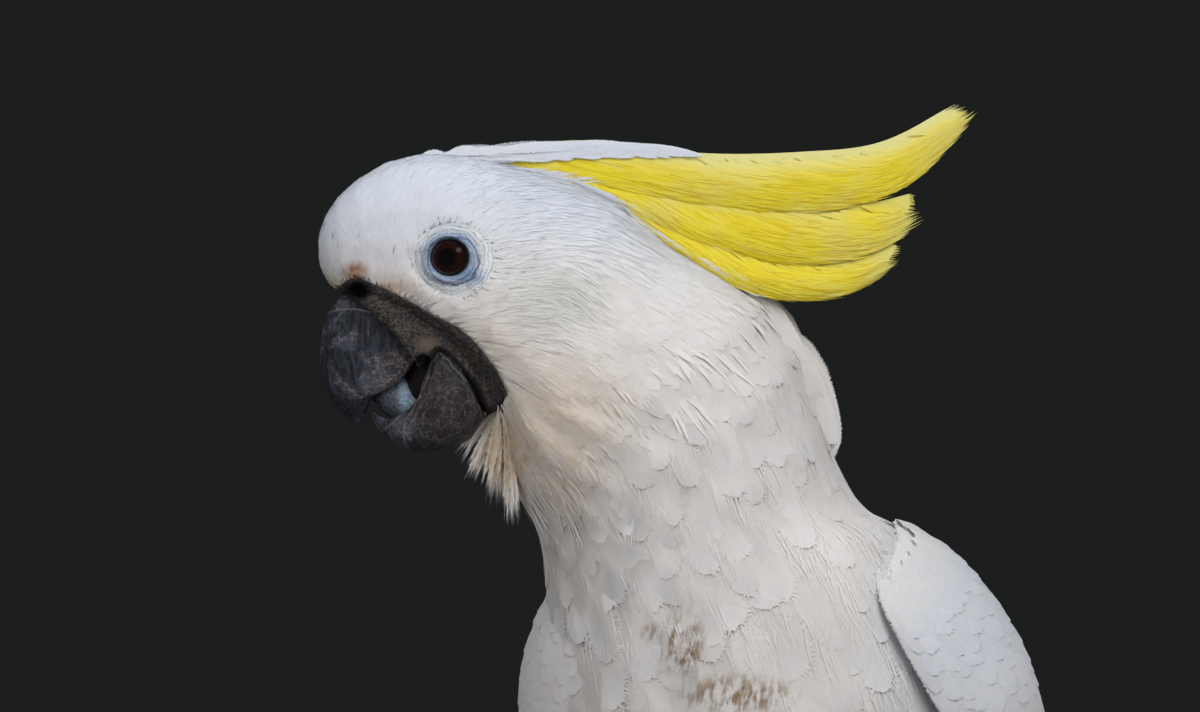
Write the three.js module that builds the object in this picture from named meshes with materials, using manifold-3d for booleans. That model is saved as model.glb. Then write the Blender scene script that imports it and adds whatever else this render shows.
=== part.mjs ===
// A life-size white cockatoo with a yellow crest, standing with its head turned to its right.
// Millimetres, +Z up. The origin is on the floor, in the middle of the bird's bounding box.
// The head faces -X; the trunk faces the direction TRUNK_YAW degrees round from -X towards -Y.
import * as THREE from "three";
import { mergeVertices } from "three/addons/utils/BufferGeometryUtils.js";
import Module from "manifold-3d";

const wasm = await Module();
wasm.setup();

// ---------------------------------------------------------------- driving dimensions
const GAP = 0.35; // clearance between neighbouring pieces
const TRUNK_YAW = 80; // how far the trunk is turned away from the head
const HEAD_Y = -34; // the head's plane of symmetry
const EYE = { x: -98.9, z: 301.6, lateral: 16.6, radius: 8.1, turn: 11 };
const EYE_RING = { radius: 7.2, thickness: 2.1, out: 5.9, flatness: 0.8 };
const NOSTRIL = { x: -126.4, z: 291.8, lateral: 12.6, size: [2.6, 3.2, 1.9] };
const TAIL = { u: -75, z: 98, slope: 26, length: 182, feathers: 12, fan: 1.55 };
const TAIL_FEATHER = { width: 30, root: 14, thickness: 1.6 };
const FOOT = { u: 4, lateral: 27, ankle: 36 };
const RING_SIDES = 18;

// ---------------------------------------------------------------- directions and frames
const radians = THREE.MathUtils.degToRad;
const UP = new THREE.Vector3(0, 0, 1);
const forwardAt = (yaw) => new THREE.Vector3(-Math.cos(radians(yaw)), -Math.sin(radians(yaw)), 0);
const leftAt = (yaw) => new THREE.Vector3(Math.sin(radians(yaw)), -Math.cos(radians(yaw)), 0);

// A point of the trunk's frame: u forward, lateral to the bird's left, z up.
function trunkPoint(u, lateral, z) {
  return forwardAt(TRUNK_YAW)
    .multiplyScalar(u)
    .addScaledVector(leftAt(TRUNK_YAW), lateral)
    .addScaledVector(UP, z);
}

// A point of the head's frame, with lateral to the bird's left.
const headPoint = (x, lateral, z) => new THREE.Vector3(x, HEAD_Y - lateral, z);

// ---------------------------------------------------------------- solids
function solidOf(geometry) {
  const bare = geometry.index ? geometry.toNonIndexed() : geometry.clone();
  bare.deleteAttribute("normal");
  bare.deleteAttribute("uv");
  const merged = mergeVertices(bare, 1e-4);
  const made = new wasm.Manifold(
    new wasm.Mesh({
      numProp: 3,
      vertProperties: merged.attributes.position.array,
      triVerts: new Uint32Array(merged.index.array),
    }),
  );
  return made;
}

function largest(solid) {
  return solid.decompose().reduce((a, b) => (a.volume() > b.volume() ? a : b));
}

function geometryOf(solid) {
  const { vertProperties, numProp, triVerts } = solid.getMesh();
  const count = vertProperties.length / numProp;
  const positions = new Float32Array(count * 3);
  for (let i = 0; i < count; i++) {
    positions.set(vertProperties.subarray(i * numProp, i * numProp + 3), i * 3);
  }
  const geometry = new THREE.BufferGeometry();
  geometry.setAttribute("position", new THREE.BufferAttribute(positions, 3));
  geometry.setIndex(new THREE.BufferAttribute(triVerts, 1));
  geometry.computeVertexNormals();
  return geometry;
}

const unite = (solids) => solids.reduce((a, b) => a.add(b));
const cut = (solid, ...tools) => largest(tools.reduce((a, b) => a.subtract(b), solid));

// A closed skin through rings of points that all have the same count, with a flat fan over each end.
function loft(rings) {
  const sides = rings[0].length;
  const points = rings.flat();
  const faces = [];
  for (let r = 0; r + 1 < rings.length; r++) {
    for (let i = 0; i < sides; i++) {
      const j = (i + 1) % sides;
      const [a, b, c, d] = [r * sides + i, r * sides + j, (r + 1) * sides + j, (r + 1) * sides + i];
      faces.push(a, b, c, a, c, d);
    }
  }
  for (const [ring, first, flip] of [
    [rings[0], 0, true],
    [rings[rings.length - 1], (rings.length - 1) * sides, false],
  ]) {
    const middle = ring.reduce((sum, p) => sum.add(p), new THREE.Vector3()).divideScalar(sides);
    points.push(middle);
    for (let i = 0; i < sides; i++) {
      const j = (i + 1) % sides;
      const edge = flip ? [first + j, first + i] : [first + i, first + j];
      faces.push(...edge, points.length - 1);
    }
  }
  const geometry = new THREE.BufferGeometry().setFromPoints(points);
  geometry.setIndex(faces);
  const solid = solidOf(geometry);
  if (solid.volume() > 0) return solid;
  for (let i = 0; i < faces.length; i += 3) [faces[i], faces[i + 1]] = [faces[i + 1], faces[i]];
  geometry.setIndex(faces);
  return solidOf(geometry);
}

// ---------------------------------------------------------------- stations
// A station is an oval section: its centre, the yaw and tilt of its plane, and its half sizes.
// tilt is the angle of the dorsal direction above the horizontal that points backward.
// power rounds the oval: 2 is an ellipse, and more is boxier. egg narrows the dorsal half.
const TRACKS = ["yaw", "tilt", "wide", "deep", "power", "egg"];

// One smooth curve per named number of the stations.
function tracksOf(stations, names) {
  const curve = (name) => {
    const points = stations.map((s, i) => new THREE.Vector3(i, s[name], 0));
    return new THREE.CatmullRomCurve3(points, false, "catmullrom", 0.5);
  };
  return Object.fromEntries(names.map((name) => [name, curve(name)]));
}

function valuesAt(tracks, t) {
  return Object.fromEntries(Object.entries(tracks).map(([name, curve]) => [name, curve.getPoint(t).y]));
}

function blended(stations) {
  const centres = new THREE.CatmullRomCurve3(stations.map((s) => s.centre), false, "centripetal");
  const tracks = tracksOf(stations, TRACKS);
  return (t) => ({ centre: centres.getPoint(t), ...valuesAt(tracks, t) });
}

function dorsalOf(s) {
  return forwardAt(s.yaw)
    .multiplyScalar(-Math.cos(radians(s.tilt)))
    .addScaledVector(UP, Math.sin(radians(s.tilt)));
}

function sectionPoint(s, angle, grow = 0) {
  const [c, n] = [Math.cos(angle), Math.sin(angle)];
  const x = Math.sign(c) * Math.abs(c) ** (2 / s.power) * (1 - s.egg * n);
  const y = Math.sign(n) * Math.abs(n) ** (2 / s.power);
  return s.centre
    .clone()
    .addScaledVector(leftAt(s.yaw), x * (s.wide + grow))
    .addScaledVector(dorsalOf(s), y * (s.deep + grow));
}

function ringAt(s, sides, grow, shift) {
  const angle = (i) => (i / sides) * 2 * Math.PI;
  return Array.from({ length: sides }, (_, i) => sectionPoint(s, angle(i), grow).add(shift));
}

// The stretch of a blended body from t0 to t1. It is grown and lengthened by grow, and trim pulls an end in.
function stretch(at, t0, t1, steps, { sides = RING_SIDES, grow = 0, trimStart = 0, trimEnd = 0 } = {}) {
  const rings = [];
  for (let i = 0; i <= steps; i++) {
    const s = at(t0 + ((t1 - t0) * i) / steps);
    const amount = i === 0 ? trimStart - grow : i === steps ? grow - trimEnd : 0;
    const normal = dorsalOf(s).cross(leftAt(s.yaw));
    const sense = Math.sign(normal.dot(at(t1).centre.clone().sub(at(t0).centre))) || 1;
    rings.push(ringAt(s, sides, grow, normal.multiplyScalar(amount * sense)));
  }
  return loft(rings);
}

// ---------------------------------------------------------------- head, neck and trunk
const headStation = (x, z, tilt, deep, wide, power, egg = 0, y = 0) => ({
  centre: headPoint(x, y, z), yaw: 0, tilt, deep, wide, power, egg,
});
const trunkStation = (u, lateral, z, tilt, deep, wide, egg = 0) => ({
  centre: trunkPoint(u, lateral, z), yaw: TRUNK_YAW, tilt, deep, wide, power: 2.1, egg,
});

const BODY = [
  headStation(-137.0, 303.6, 92, 4.5, 5.0, 2.1), // front of the forehead
  headStation(-133.2, 303.8, 95, 12.0, 12.0, 2.3),
  headStation(-124.5, 305.0, 98, 18.5, 17.0, 2.5, 0.04),
  headStation(-110.5, 305.0, 98, 25.5, 21.0, 2.5, 0.08),
  headStation(-96.4, 299.3, 92.9, 31.8, 23.6, 2.4, 0.12), // eyes
  headStation(-82.0, 291.2, 83.5, 35.6, 27.5, 2.3, 0.12), // cheeks
  headStation(-69.8, 282.9, 68, 39.5, 32.0, 2.15, 0.1),
  headStation(-59.0, 271.1, 51.6, 40.1, 36.0, 2.1, 0.06), // nape
  headStation(-46.8, 262.1, 41.5, 44.8, 39.5, 2.05, 0.03, -1.5),
  { ...headStation(-38.5, 251.9, 34.7, 45.8, 42.0, 2.0, 0, -3), yaw: 18 },
  { ...headStation(-34.0, 238.0, 28, 44.4, 43.5, 2.0, 0, -4.5), yaw: 38 }, // neck
  { ...trunkStation(33, -24, 223, 26, 44.5, 45), yaw: 56 },
  { ...trunkStation(31, -16, 200, 30, 48, 52), yaw: 70 }, // shoulders
  trunkStation(24, -9, 172, 36, 52, 57),
  trunkStation(6, -4, 140, 42, 53, 58, 0.03), // breast
  trunkStation(-15, -1, 113, 48, 48, 54, 0.04),
  trunkStation(-42, 0, 97, 55, 37, 44), // belly
  trunkStation(-68, 0, 90, 60, 26, 32),
  trunkStation(-95, 0, 85, 62, 16, 23), // tail coverts
  trunkStation(-122, 0, 74.5, 63, 6.5, 15),
];
const bodyAt = blended(BODY);
const station = (index) => index / (BODY.length - 1);
const NECK_START = station(8.2);
const NECK_END = station(11.6);
const [HEAD_STEPS, NECK_STEPS, TRUNK_STEPS] = [12, 4, 10];
const neckGrown = stretch(bodyAt, NECK_START, NECK_END, NECK_STEPS, { grow: GAP });
const trunkGrown = stretch(bodyAt, NECK_END, 1, TRUNK_STEPS, { grow: GAP });
const headGrown = stretch(bodyAt, 0, NECK_START, HEAD_STEPS, { grow: GAP });

const wholeHead = stretch(bodyAt, 0, NECK_START, HEAD_STEPS, { trimEnd: GAP / 2 });
const neck = stretch(bodyAt, NECK_START, NECK_END, NECK_STEPS, { trimStart: GAP / 2, trimEnd: GAP / 2 });
const wholeTrunk = stretch(bodyAt, NECK_END, 1, TRUNK_STEPS, { trimStart: GAP / 2 });

// ---------------------------------------------------------------- bill
// A bill section runs from a point on the outer ridge to one on the inner side, in the head's plane.
function billStation([x0, z0], [x1, z1], wide, power = 2.3, egg = 0) {
  const tilt = THREE.MathUtils.radToDeg(Math.atan2(z0 - z1, x0 - x1));
  return {
    centre: headPoint((x0 + x1) / 2, 0, (z0 + z1) / 2),
    yaw: 0,
    tilt: (tilt + 360) % 360,
    deep: Math.hypot(x0 - x1, z0 - z1) / 2,
    wide, power, egg,
  };
}

const UPPER_BILL = [
  billStation([-128.6, 291.9], [-104.8, 276.6], 12.0, 2.5),
  billStation([-132.8, 289.6], [-107.4, 270.8], 12.2, 2.6, 0.04),
  billStation([-135.8, 283.1], [-111.6, 265.6], 11.6, 2.7, 0.08),
  billStation([-137.0, 275.4], [-116.2, 262.2], 10.4, 2.7, 0.12),
  billStation([-136.2, 267.7], [-120.6, 260.2], 8.6, 2.6, 0.15),
  billStation([-133.8, 261.2], [-123.0, 257.6], 6.2, 2.4, 0.15),
  billStation([-130.8, 257.2], [-124.4, 256.2], 3.8, 2.2, 0.1),
  billStation([-127.4, 253.9], [-125.6, 254.7], 1.1, 2.0), // tip of the hook
];
const LOWER_BILL = [
  billStation([-98.4, 274.0], [-89.8, 256.5], 12.8, 2.4),
  billStation([-103.4, 276.4], [-94.0, 250.4], 13.6, 2.5),
  billStation([-106.0, 271.6], [-100.5, 246.9], 13.4, 2.6),
  billStation([-108.8, 266.5], [-106.0, 246.0], 12.6, 2.7),
  billStation([-112.2, 261.4], [-112.0, 246.8], 11.2, 2.7),
  billStation([-116.4, 258.4], [-117.0, 249.6], 9.2, 2.6),
  billStation([-120.2, 258.4], [-120.9, 253.2], 7.0, 2.5),
  billStation([-122.2, 258.9], [-122.5, 256.9], 4.8, 2.2), // front of the scoop
];
const BILL_BASE = [
  billStation([-130.6, 292.8], [-112.0, 277.0], 13.0, 2.4),
  billStation([-124.0, 295.6], [-108.0, 268.0], 16.0, 2.4),
  billStation([-114.4, 292.0], [-106.0, 262.0], 16.6, 2.4),
  billStation([-104.6, 286.8], [-100.0, 258.0], 16.8, 2.4),
  billStation([-95.4, 280.6], [-94.0, 257.0], 16.4, 2.4),
  billStation([-88.0, 272.4], [-90.4, 256.6], 16.2, 2.4),
  billStation([-83.6, 263.6], [-87.0, 257.6], 15.0, 2.3), // corner of the jaw
];
const billSolid = (stations, grow = 0) => stretch(blended(stations), 0, 1, 8, { sides: 12, grow });

// The open mouth seen from the side: along the upper cutting edge to the hook, then back along the lower one.
const MOUTH_EDGE = [
  [-105.7, 276.8], [-108.6, 275.4], [-109.4, 272.5], [-112.3, 268.8], [-114.3, 266.3], [-116.6, 264.5],
  [-120.0, 263.1], [-122.3, 261.7], [-123.7, 258.3], [-125.6, 254.2], [-123.4, 253.4], [-122.7, 255.6],
  [-122.0, 258.2], [-120.0, 256.5], [-116.3, 256.0], [-111.4, 258.8], [-108.6, 262.5], [-107.7, 266.3],
  [-105.1, 270.5], [-103.7, 274.5],
];

// The mouth's opening between two distances from the head's plane, on the given side.
function mouthGap(side, near, far) {
  const shape = new THREE.Shape(MOUTH_EDGE.map(([x, z]) => new THREE.Vector2(x, z)));
  const geometry = new THREE.ExtrudeGeometry(shape, { depth: far - near, bevelEnabled: false });
  geometry.rotateX(Math.PI / 2);
  geometry.translate(0, HEAD_Y - (side > 0 ? near : -far), 0);
  return solidOf(geometry);
}

function ellipsoid(centre, [rx, ry, rz], turn = 0, [around, down] = [12, 6]) {
  const geometry = new THREE.SphereGeometry(1, around, down);
  geometry.scale(rx, ry, rz);
  geometry.rotateY(radians(turn));
  geometry.translate(centre.x, centre.y, centre.z);
  return solidOf(geometry);
}

const TONGUE = { x: -114.6, z: 262.2, size: [9.4, 6.4, 4.9], turn: -40 };
const tongueAt = headPoint(TONGUE.x, 0, TONGUE.z);
const tongue = ellipsoid(tongueAt, TONGUE.size, TONGUE.turn);
const tongueGrown = ellipsoid(tongueAt, TONGUE.size.map((r) => r + GAP), TONGUE.turn);
const mouthSpace = ellipsoid(headPoint(-113, 0, 262.8), [12.6, 8.4, 6.9], TONGUE.turn);
const openMouth = [1, -1].map((side) => mouthGap(side, 0, 20));
const mouthCorners = [1, -1].map((side) => mouthGap(side, 7, 20));

const upperGrown = billSolid(UPPER_BILL, GAP);
const lowerGrown = billSolid(LOWER_BILL, GAP);
const upperBill = cut(billSolid(UPPER_BILL), ...openMouth, mouthSpace);
const lowerBill = cut(billSolid(LOWER_BILL), ...openMouth, upperGrown, mouthSpace);
const nostrils = [1, -1].map((side) =>
  ellipsoid(headPoint(NOSTRIL.x, side * NOSTRIL.lateral, NOSTRIL.z), NOSTRIL.size, -20, [8, 4]),
);
const baseGrown = billSolid(BILL_BASE, GAP);
const billBase = cut(
  billSolid(BILL_BASE),
  upperGrown,
  lowerGrown,
  ...mouthCorners,
  tongueGrown,
  ...nostrils,
);

// ---------------------------------------------------------------- eyes
// The eye looks outward and EYE.turn degrees forward.
function eyeAxis(side) {
  return new THREE.Vector3(-Math.sin(radians(EYE.turn)), -side * Math.cos(radians(EYE.turn)), 0);
}

function eyeBall(side, grow = 0) {
  const size = Array(3).fill(EYE.radius + grow);
  return ellipsoid(headPoint(EYE.x, side * EYE.lateral, EYE.z), size, 0, [12, 8]);
}

// Puts a geometry that faces +Z round the eye, facing out.
function roundEye(geometry, side) {
  const facing = new THREE.Quaternion().setFromUnitVectors(new THREE.Vector3(0, 0, 1), eyeAxis(side));
  geometry.applyQuaternion(facing);
  const middle = headPoint(EYE.x, side * EYE.lateral, EYE.z);
  middle.addScaledVector(eyeAxis(side), EYE_RING.out);
  geometry.translate(middle.x, middle.y, middle.z);
  return solidOf(geometry);
}

function eyeRing(side) {
  const geometry = new THREE.TorusGeometry(EYE_RING.radius, EYE_RING.thickness, 5, 16);
  geometry.scale(1, 1, EYE_RING.flatness);
  return roundEye(geometry, side);
}

// The round seat in the head that the ring of bare skin lies in.
function eyeSeat(side) {
  const reach = EYE_RING.radius + EYE_RING.thickness + GAP;
  const geometry = new THREE.CylinderGeometry(reach, reach, 2 * (EYE_RING.thickness + GAP), 16);
  geometry.rotateX(Math.PI / 2);
  return roundEye(geometry, side);
}

const head = cut(
  wholeHead,
  upperGrown,
  baseGrown,
  lowerGrown,
  mouthSpace,
  ...[1, -1].flatMap((side) => [eyeBall(side, GAP), eyeSeat(side)]),
);

// ---------------------------------------------------------------- crest
// Each crest lobe is a thin curved blade. Its upper and lower edges run from the root to the rounded tip.
const CREST_BLADES = [
  {
    name: "front",
    upper: [[-97.0, 332.0], [-60.0, 335.3], [-28.6, 331.7], [0, 332.0], [22.9, 336.3], [46.6, 347.1]],
    lower: [[-95.0, 329.5], [-60.0, 321.0], [-28.6, 316.5], [0, 314.8], [27.1, 320.5], [49.1, 339.4]],
    sideways: 1.2,
  },
  {
    name: "middle",
    upper: [[-68.6, 326.8], [-45.7, 321.1], [-22.9, 316.5], [0, 314.8], [20.0, 317.4], [33.1, 320.5]],
    lower: [[-65.7, 324.0], [-45.7, 314.0], [-27.1, 305.4], [-5.7, 300.5], [15.7, 301.4], [33.1, 310.3]],
    sideways: 3.2,
  },
  {
    name: "rear",
    upper: [[-57.1, 321.1], [-40.0, 311.1], [-22.9, 304.0], [-5.7, 300.0], [11.4, 300.5], [29.1, 306.8]],
    lower: [[-51.4, 316.8], [-37.1, 305.4], [-22.9, 296.8], [-6.9, 291.4], [11.4, 291.6], [28.0, 299.4]],
    sideways: 5.2,
  },
];
const BLADE_THICKNESS = 0.9;
const BLADE_HOLLOW = 3.2; // how far a blade's cupped section stands off its edge

function crestBlade({ upper, lower, sideways }, side, grow = 0) {
  const curve = (edge) => new THREE.SplineCurve(edge.map(([x, z]) => new THREE.Vector2(x, z)));
  const edges = [upper, lower].map(curve);
  const [lengthSteps, depthSteps] = [7, 3];
  const rings = [];
  for (let i = 0; i <= lengthSteps; i++) {
    const t = i / lengthSteps;
    const [top, bottom] = edges.map((edge) => edge.getPoint(t));
    const ring = [];
    for (const face of [-1, 1]) {
      for (let j = 0; j <= depthSteps; j++) {
        const k = (face < 0 ? j : depthSteps - j) / depthSteps;
        const at = top.clone().lerp(bottom, k);
        const hollow = BLADE_HOLLOW * Math.sin(Math.PI * 0.75 * k);
        const bulge = (sideways + hollow) * (0.55 + 0.45 * Math.sin(Math.PI * t));
        ring.push(headPoint(at.x, side * (bulge + face * (BLADE_THICKNESS / 2 + grow)), at.y));
      }
    }
    rings.push(ring);
  }
  return loft(rings);
}

// ---------------------------------------------------------------- tail
// Twelve long feathers, fanned a little and stacked like a closed hand of cards, the middle pair on top.
function tailSolid(grow = 0) {
  const { feathers, length, slope } = TAIL;
  const { width, root, thickness } = TAIL_FEATHER;
  // A feather is drawn with x to the bird's left and y tailward.
  const left = leftAt(TRUNK_YAW);
  const tailward = trunkPoint(-Math.cos(radians(slope)), 0, -Math.sin(radians(slope)));
  const over = new THREE.Vector3().crossVectors(left, tailward);
  const frame = new THREE.Matrix4().makeBasis(left, tailward, over);
  frame.setPosition(trunkPoint(TAIL.u, 0, TAIL.z));
  const plates = [];
  for (let i = 0; i < feathers; i++) {
    const place = i - (feathers - 1) / 2;
    const rank = Math.abs(place);
    const reach = length - rank * rank * 0.5;
    const half = width / 2 + grow;
    const shape = new THREE.Shape();
    shape.moveTo(-root / 2, 0);
    shape.lineTo(-half, reach * 0.75);
    shape.absellipse(0, reach - half * 1.1, half, half * 1.1 + grow, Math.PI, 0, true);
    shape.lineTo(root / 2, 0);
    const plate = new THREE.ExtrudeGeometry(shape, {
      depth: thickness + 2 * grow,
      bevelEnabled: false,
      curveSegments: 2,
    });
    plate.translate(0, 0, -thickness / 2 - grow);
    plate.rotateZ(radians(-place * TAIL.fan));
    plate.rotateY(radians(place * 3.2));
    plate.translate(place * 1.4, 0, -rank * 0.85);
    plate.applyMatrix4(frame);
    plates.push(solidOf(plate));
  }
  return unite(plates);
}

// ---------------------------------------------------------------- wings
// A folded wing is a shell that wraps the trunk's side. Each section is an arc round the trunk's axis,
// from near the spine (start) to the leading or lower edge (end), in degrees from the dorsal direction.
const wingStation = (u, lateral, z, tilt, deep, wide, start, end, thick, yaw = TRUNK_YAW) => ({
  centre: trunkPoint(u, lateral, z), yaw, tilt, deep, wide, start, end, thick,
});
const WING = [
  wingStation(36, -7, 222, 27, 46, 42, 68, 118, 5),
  wingStation(36, -6, 211, 29, 53, 56, 50, 124, 12),
  wingStation(31, -5, 195, 32, 59, 68, 32, 124, 15),
  wingStation(23, -3, 174, 36, 62, 76, 20, 120, 17),
  wingStation(8, -1, 146, 42, 62, 77, 12, 116, 18),
  wingStation(-14, 0, 120, 48, 57, 70, 7, 112, 17),
  wingStation(-42, 0, 102, 54, 45, 57, 5, 108, 15),
  wingStation(-72, 0, 92, 60, 32, 43, 4, 104, 11),
  wingStation(-105, 0, 82, 63, 21.5, 32, 4, 98, 7),
  wingStation(-140, 0, 68, 64, 14, 25, 4, 92, 4),
  wingStation(-172, 0, 53, 64, 10.8, 18, 5, 84, 2.6),
  wingStation(-196, 0, 42, 64, 9, 11, 10, 66, 1.6),
];
const WING_TRACKS = ["yaw", "tilt", "wide", "deep", "start", "end", "thick"];

// The wing's cross-section at one station: the outer arc out, then the inner arc back.
function wingRing(s, side, arcSteps) {
  const dorsal = dorsalOf(s);
  const left = leftAt(s.yaw).multiplyScalar(side);
  const point = (k, inset) => {
    const angle = radians(s.start + (s.end - s.start) * k);
    const rim = Math.sin(Math.PI * (0.02 + 0.96 * k)) ** 0.35;
    const fall = s.thick * (1 - rim) * 0.9 + inset;
    return s.centre
      .clone()
      .addScaledVector(left, Math.sin(angle) * (s.wide - fall))
      .addScaledVector(dorsal, Math.cos(angle) * (s.deep - fall));
  };
  const ring = [];
  for (let j = 0; j <= arcSteps; j++) ring.push(point(j / arcSteps, 0));
  for (let j = arcSteps; j >= 0; j--) {
    const bow = Math.sin((Math.PI * j) / arcSteps) ** 0.5;
    ring.push(point(j / arcSteps, s.thick * (0.2 + 0.8 * bow)));
  }
  return ring;
}

function wingSolid(side) {
  const centres = new THREE.CatmullRomCurve3(WING.map((s) => s.centre), false, "centripetal");
  const tracks = tracksOf(WING, WING_TRACKS);
  const [lengthSteps, arcSteps] = [13, 5];
  const rings = [];
  for (let i = 0; i <= lengthSteps; i++) {
    const t = i / lengthSteps;
    const s = valuesAt(tracks, t);
    s.centre = centres.getPoint(t);
    rings.push(wingRing(s, side, arcSteps));
  }
  return loft(rings);
}

// ---------------------------------------------------------------- legs
function tube(points, radii, sides, stepsBetween = 1) {
  const path = new THREE.CatmullRomCurve3(points);
  const { radius } = tracksOf(radii.map((r) => ({ radius: r })), ["radius"]);
  const steps = stepsBetween * (points.length - 1);
  const rings = [];
  for (let i = 0; i <= steps; i++) {
    const t = i / steps;
    const tangent = path.getTangent(t);
    const side = Math.abs(tangent.z) > 0.9 ? leftAt(TRUNK_YAW) : UP;
    const across = new THREE.Vector3().crossVectors(side, tangent).normalize();
    const over = new THREE.Vector3().crossVectors(tangent, across);
    const size = radius.getPoint(t).y;
    const ring = Array.from({ length: sides }, (_, k) => {
      const angle = (k / sides) * 2 * Math.PI;
      return path
        .getPoint(t)
        .addScaledVector(across, Math.cos(angle) * size)
        .addScaledVector(over, Math.sin(angle) * size);
    });
    rings.push(ring);
  }
  return loft(rings);
}

// The second and third toes point forward, and the first and fourth backward.
// spread is the angle from straight ahead, positive outward.
const TOES = [
  { name: "first", spread: 196, length: 20, radius: 4.0, claw: 11 },
  { name: "second", spread: -14, length: 29, radius: 4.3, claw: 13 },
  { name: "third", spread: 16, length: 40, radius: 4.5, claw: 14 },
  { name: "fourth", spread: 146, length: 34, radius: 4.3, claw: 13 },
];
const FLOOR_CUT = 0.2; // how far a toe's pad is flattened, as a share of its radius
const HUB = { height: 4.8, radius: 5.8 }; // the ball of the foot, where the toes meet

function toeDirection(spread, side) {
  const angle = radians(spread);
  return trunkPoint(Math.cos(angle), side * Math.sin(angle), 0);
}

function shankSolid(side, grow = 0) {
  const points = [[-8, FOOT.ankle + 6 + grow], [-3, 20], [0, 7]];
  return tube(
    points.map(([u, z]) => trunkPoint(FOOT.u + u, side * FOOT.lateral, z)),
    [5.2, 4.6, 5.8].map((r) => r + grow),
    10,
    2,
  );
}

function footSolid(side) {
  const hub = trunkPoint(FOOT.u, side * FOOT.lateral, 0);
  const shank = shankSolid(side);
  const toes = TOES.map(({ spread, length, radius }) => {
    const out = toeDirection(spread, side);
    const low = radius * (1 - FLOOR_CUT);
    const at = (share, z) => hub.clone().addScaledVector(out, length * share).setZ(z);
    const path = [at(0, HUB.height), at(0.35, low + 0.5), at(0.7, low), at(1, low)];
    return tube(path, [HUB.radius, radius * 1.05, radius * 1.02, radius * 0.86], 8);
  });
  const floor = new THREE.BoxGeometry(400, 400, 40);
  floor.translate(0, 0, -20);
  return largest(unite([shank, ...toes]).subtract(solidOf(floor)));
}

function clawSolid({ spread, length, radius, claw }, side) {
  const hub = trunkPoint(FOOT.u, side * FOOT.lateral, 0);
  const out = toeDirection(spread, side);
  const low = radius * (1 - FLOOR_CUT);
  const points = [];
  for (let i = 0; i <= 4; i++) {
    const t = i / 4;
    const bend = 1.25 * t;
    points.push(
      hub
        .clone()
        .addScaledVector(out, length + 2 * GAP + (claw * Math.sin(bend)) / 1.25)
        .setZ(low + 0.9 + claw * 0.06 * Math.sin(Math.PI * t) - (low + 0.2) * t ** 2.2),
    );
  }
  return tube(points, [radius * 0.62, radius * 0.55, radius * 0.42, radius * 0.26, 0.35], 6);
}

const THIGH = [
  { u: 8, lateral: 25, z: 100, wide: 16, deep: 22 },
  { u: 9, lateral: 27, z: 82, wide: 18, deep: 22 },
  { u: 5, lateral: 27.5, z: 62, wide: 14, deep: 17 },
  { u: -1, lateral: 27, z: 46, wide: 9.5, deep: 11 },
  { u: -3.4, lateral: 27, z: FOOT.ankle + GAP, wide: 7.2, deep: 8 },
];

function thighSolid(side, tools) {
  const stations = THIGH.map(({ u, lateral, z, wide, deep }) => ({
    centre: trunkPoint(u, side * lateral, z), yaw: TRUNK_YAW, tilt: 0, wide, deep, power: 2, egg: 0,
  }));
  return cut(stretch(blended(stations), 0, 1, 5, { sides: 12 }), ...tools);
}

// ---------------------------------------------------------------- assembly
const WHITE = { color: 0xece9e2, roughness: 0.85, metalness: 0 };
const YELLOW = { color: 0xe8d640, roughness: 0.8, metalness: 0 };
const HORN = { color: 0x34353c, roughness: 0.55, metalness: 0 };
const DARK_SKIN = { color: 0x2b2828, roughness: 0.8, metalness: 0 };
const BLUE_SKIN = { color: 0xa9c3da, roughness: 0.7, metalness: 0 };
const IRIS = { color: 0x2a0f0a, roughness: 0.08, metalness: 0 };
const TONGUE_SKIN = { color: 0x5d6b78, roughness: 0.35, metalness: 0 };

const bird = new THREE.Group();
function add(name, solid, finish) {
  const mesh = new THREE.Mesh(geometryOf(solid), new THREE.MeshStandardMaterial(finish));
  mesh.name = name;
  bird.add(mesh);
}

const tail = tailSolid();
const tailGrown = tailSolid(GAP);
const trunk = cut(wholeTrunk, tailGrown);
const sides = [["left", 1], ["right", -1]];

add("head", head, WHITE);
add("neck", neck, WHITE);
add("trunk", trunk, WHITE);
add("tail", tail, WHITE);
add("upper_bill", upperBill, HORN);
add("lower_bill", lowerBill, HORN);
add("bill_base", billBase, DARK_SKIN);
add("tongue", tongue, TONGUE_SKIN);
for (const [name, side] of sides) {
  add(`eye_${name}`, eyeBall(side), IRIS);
  add(`eye_ring_${name}`, cut(eyeRing(side), eyeBall(side, GAP)), BLUE_SKIN);
  CREST_BLADES.forEach((blade, i) => {
    const nearer = CREST_BLADES.slice(0, i).map((other) => crestBlade(other, side, GAP));
    const lobe = cut(crestBlade(blade, side), headGrown, neckGrown, ...nearer);
    add(`crest_${blade.name}_${name}`, lobe, YELLOW);
  });
  add(`wing_${name}`, cut(wingSolid(side), neckGrown, trunkGrown, tailGrown), WHITE);
  add(`thigh_${name}`, thighSolid(side, [trunkGrown, shankSolid(side, GAP)]), WHITE);
  add(`foot_${name}`, footSolid(side), HORN);
  for (const toe of TOES) add(`claw_${toe.name}_${name}`, clawSolid(toe, side), HORN);
}

const box = new THREE.Box3().setFromObject(bird);
const middle = box.getCenter(new THREE.Vector3());
for (const mesh of bird.children) mesh.geometry.translate(-middle.x, -middle.y, -box.min.z);

export default bird;
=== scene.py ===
"""The white cockatoo, dressed over its CAD frame. Metres, +Z up, and the frame's own axes.

The skin is made from the CAD solids of the flesh. The bill, eyes, feet, crest, tail and wings are
finer pieces in their nodes' places, and the coat is feathers of solid mesh laid over the skin.
"""
import math

import bmesh
import bpy
import numpy as np
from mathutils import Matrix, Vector, noise
from mathutils.bvhtree import BVHTree
from mathutils.kdtree import KDTree


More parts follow.
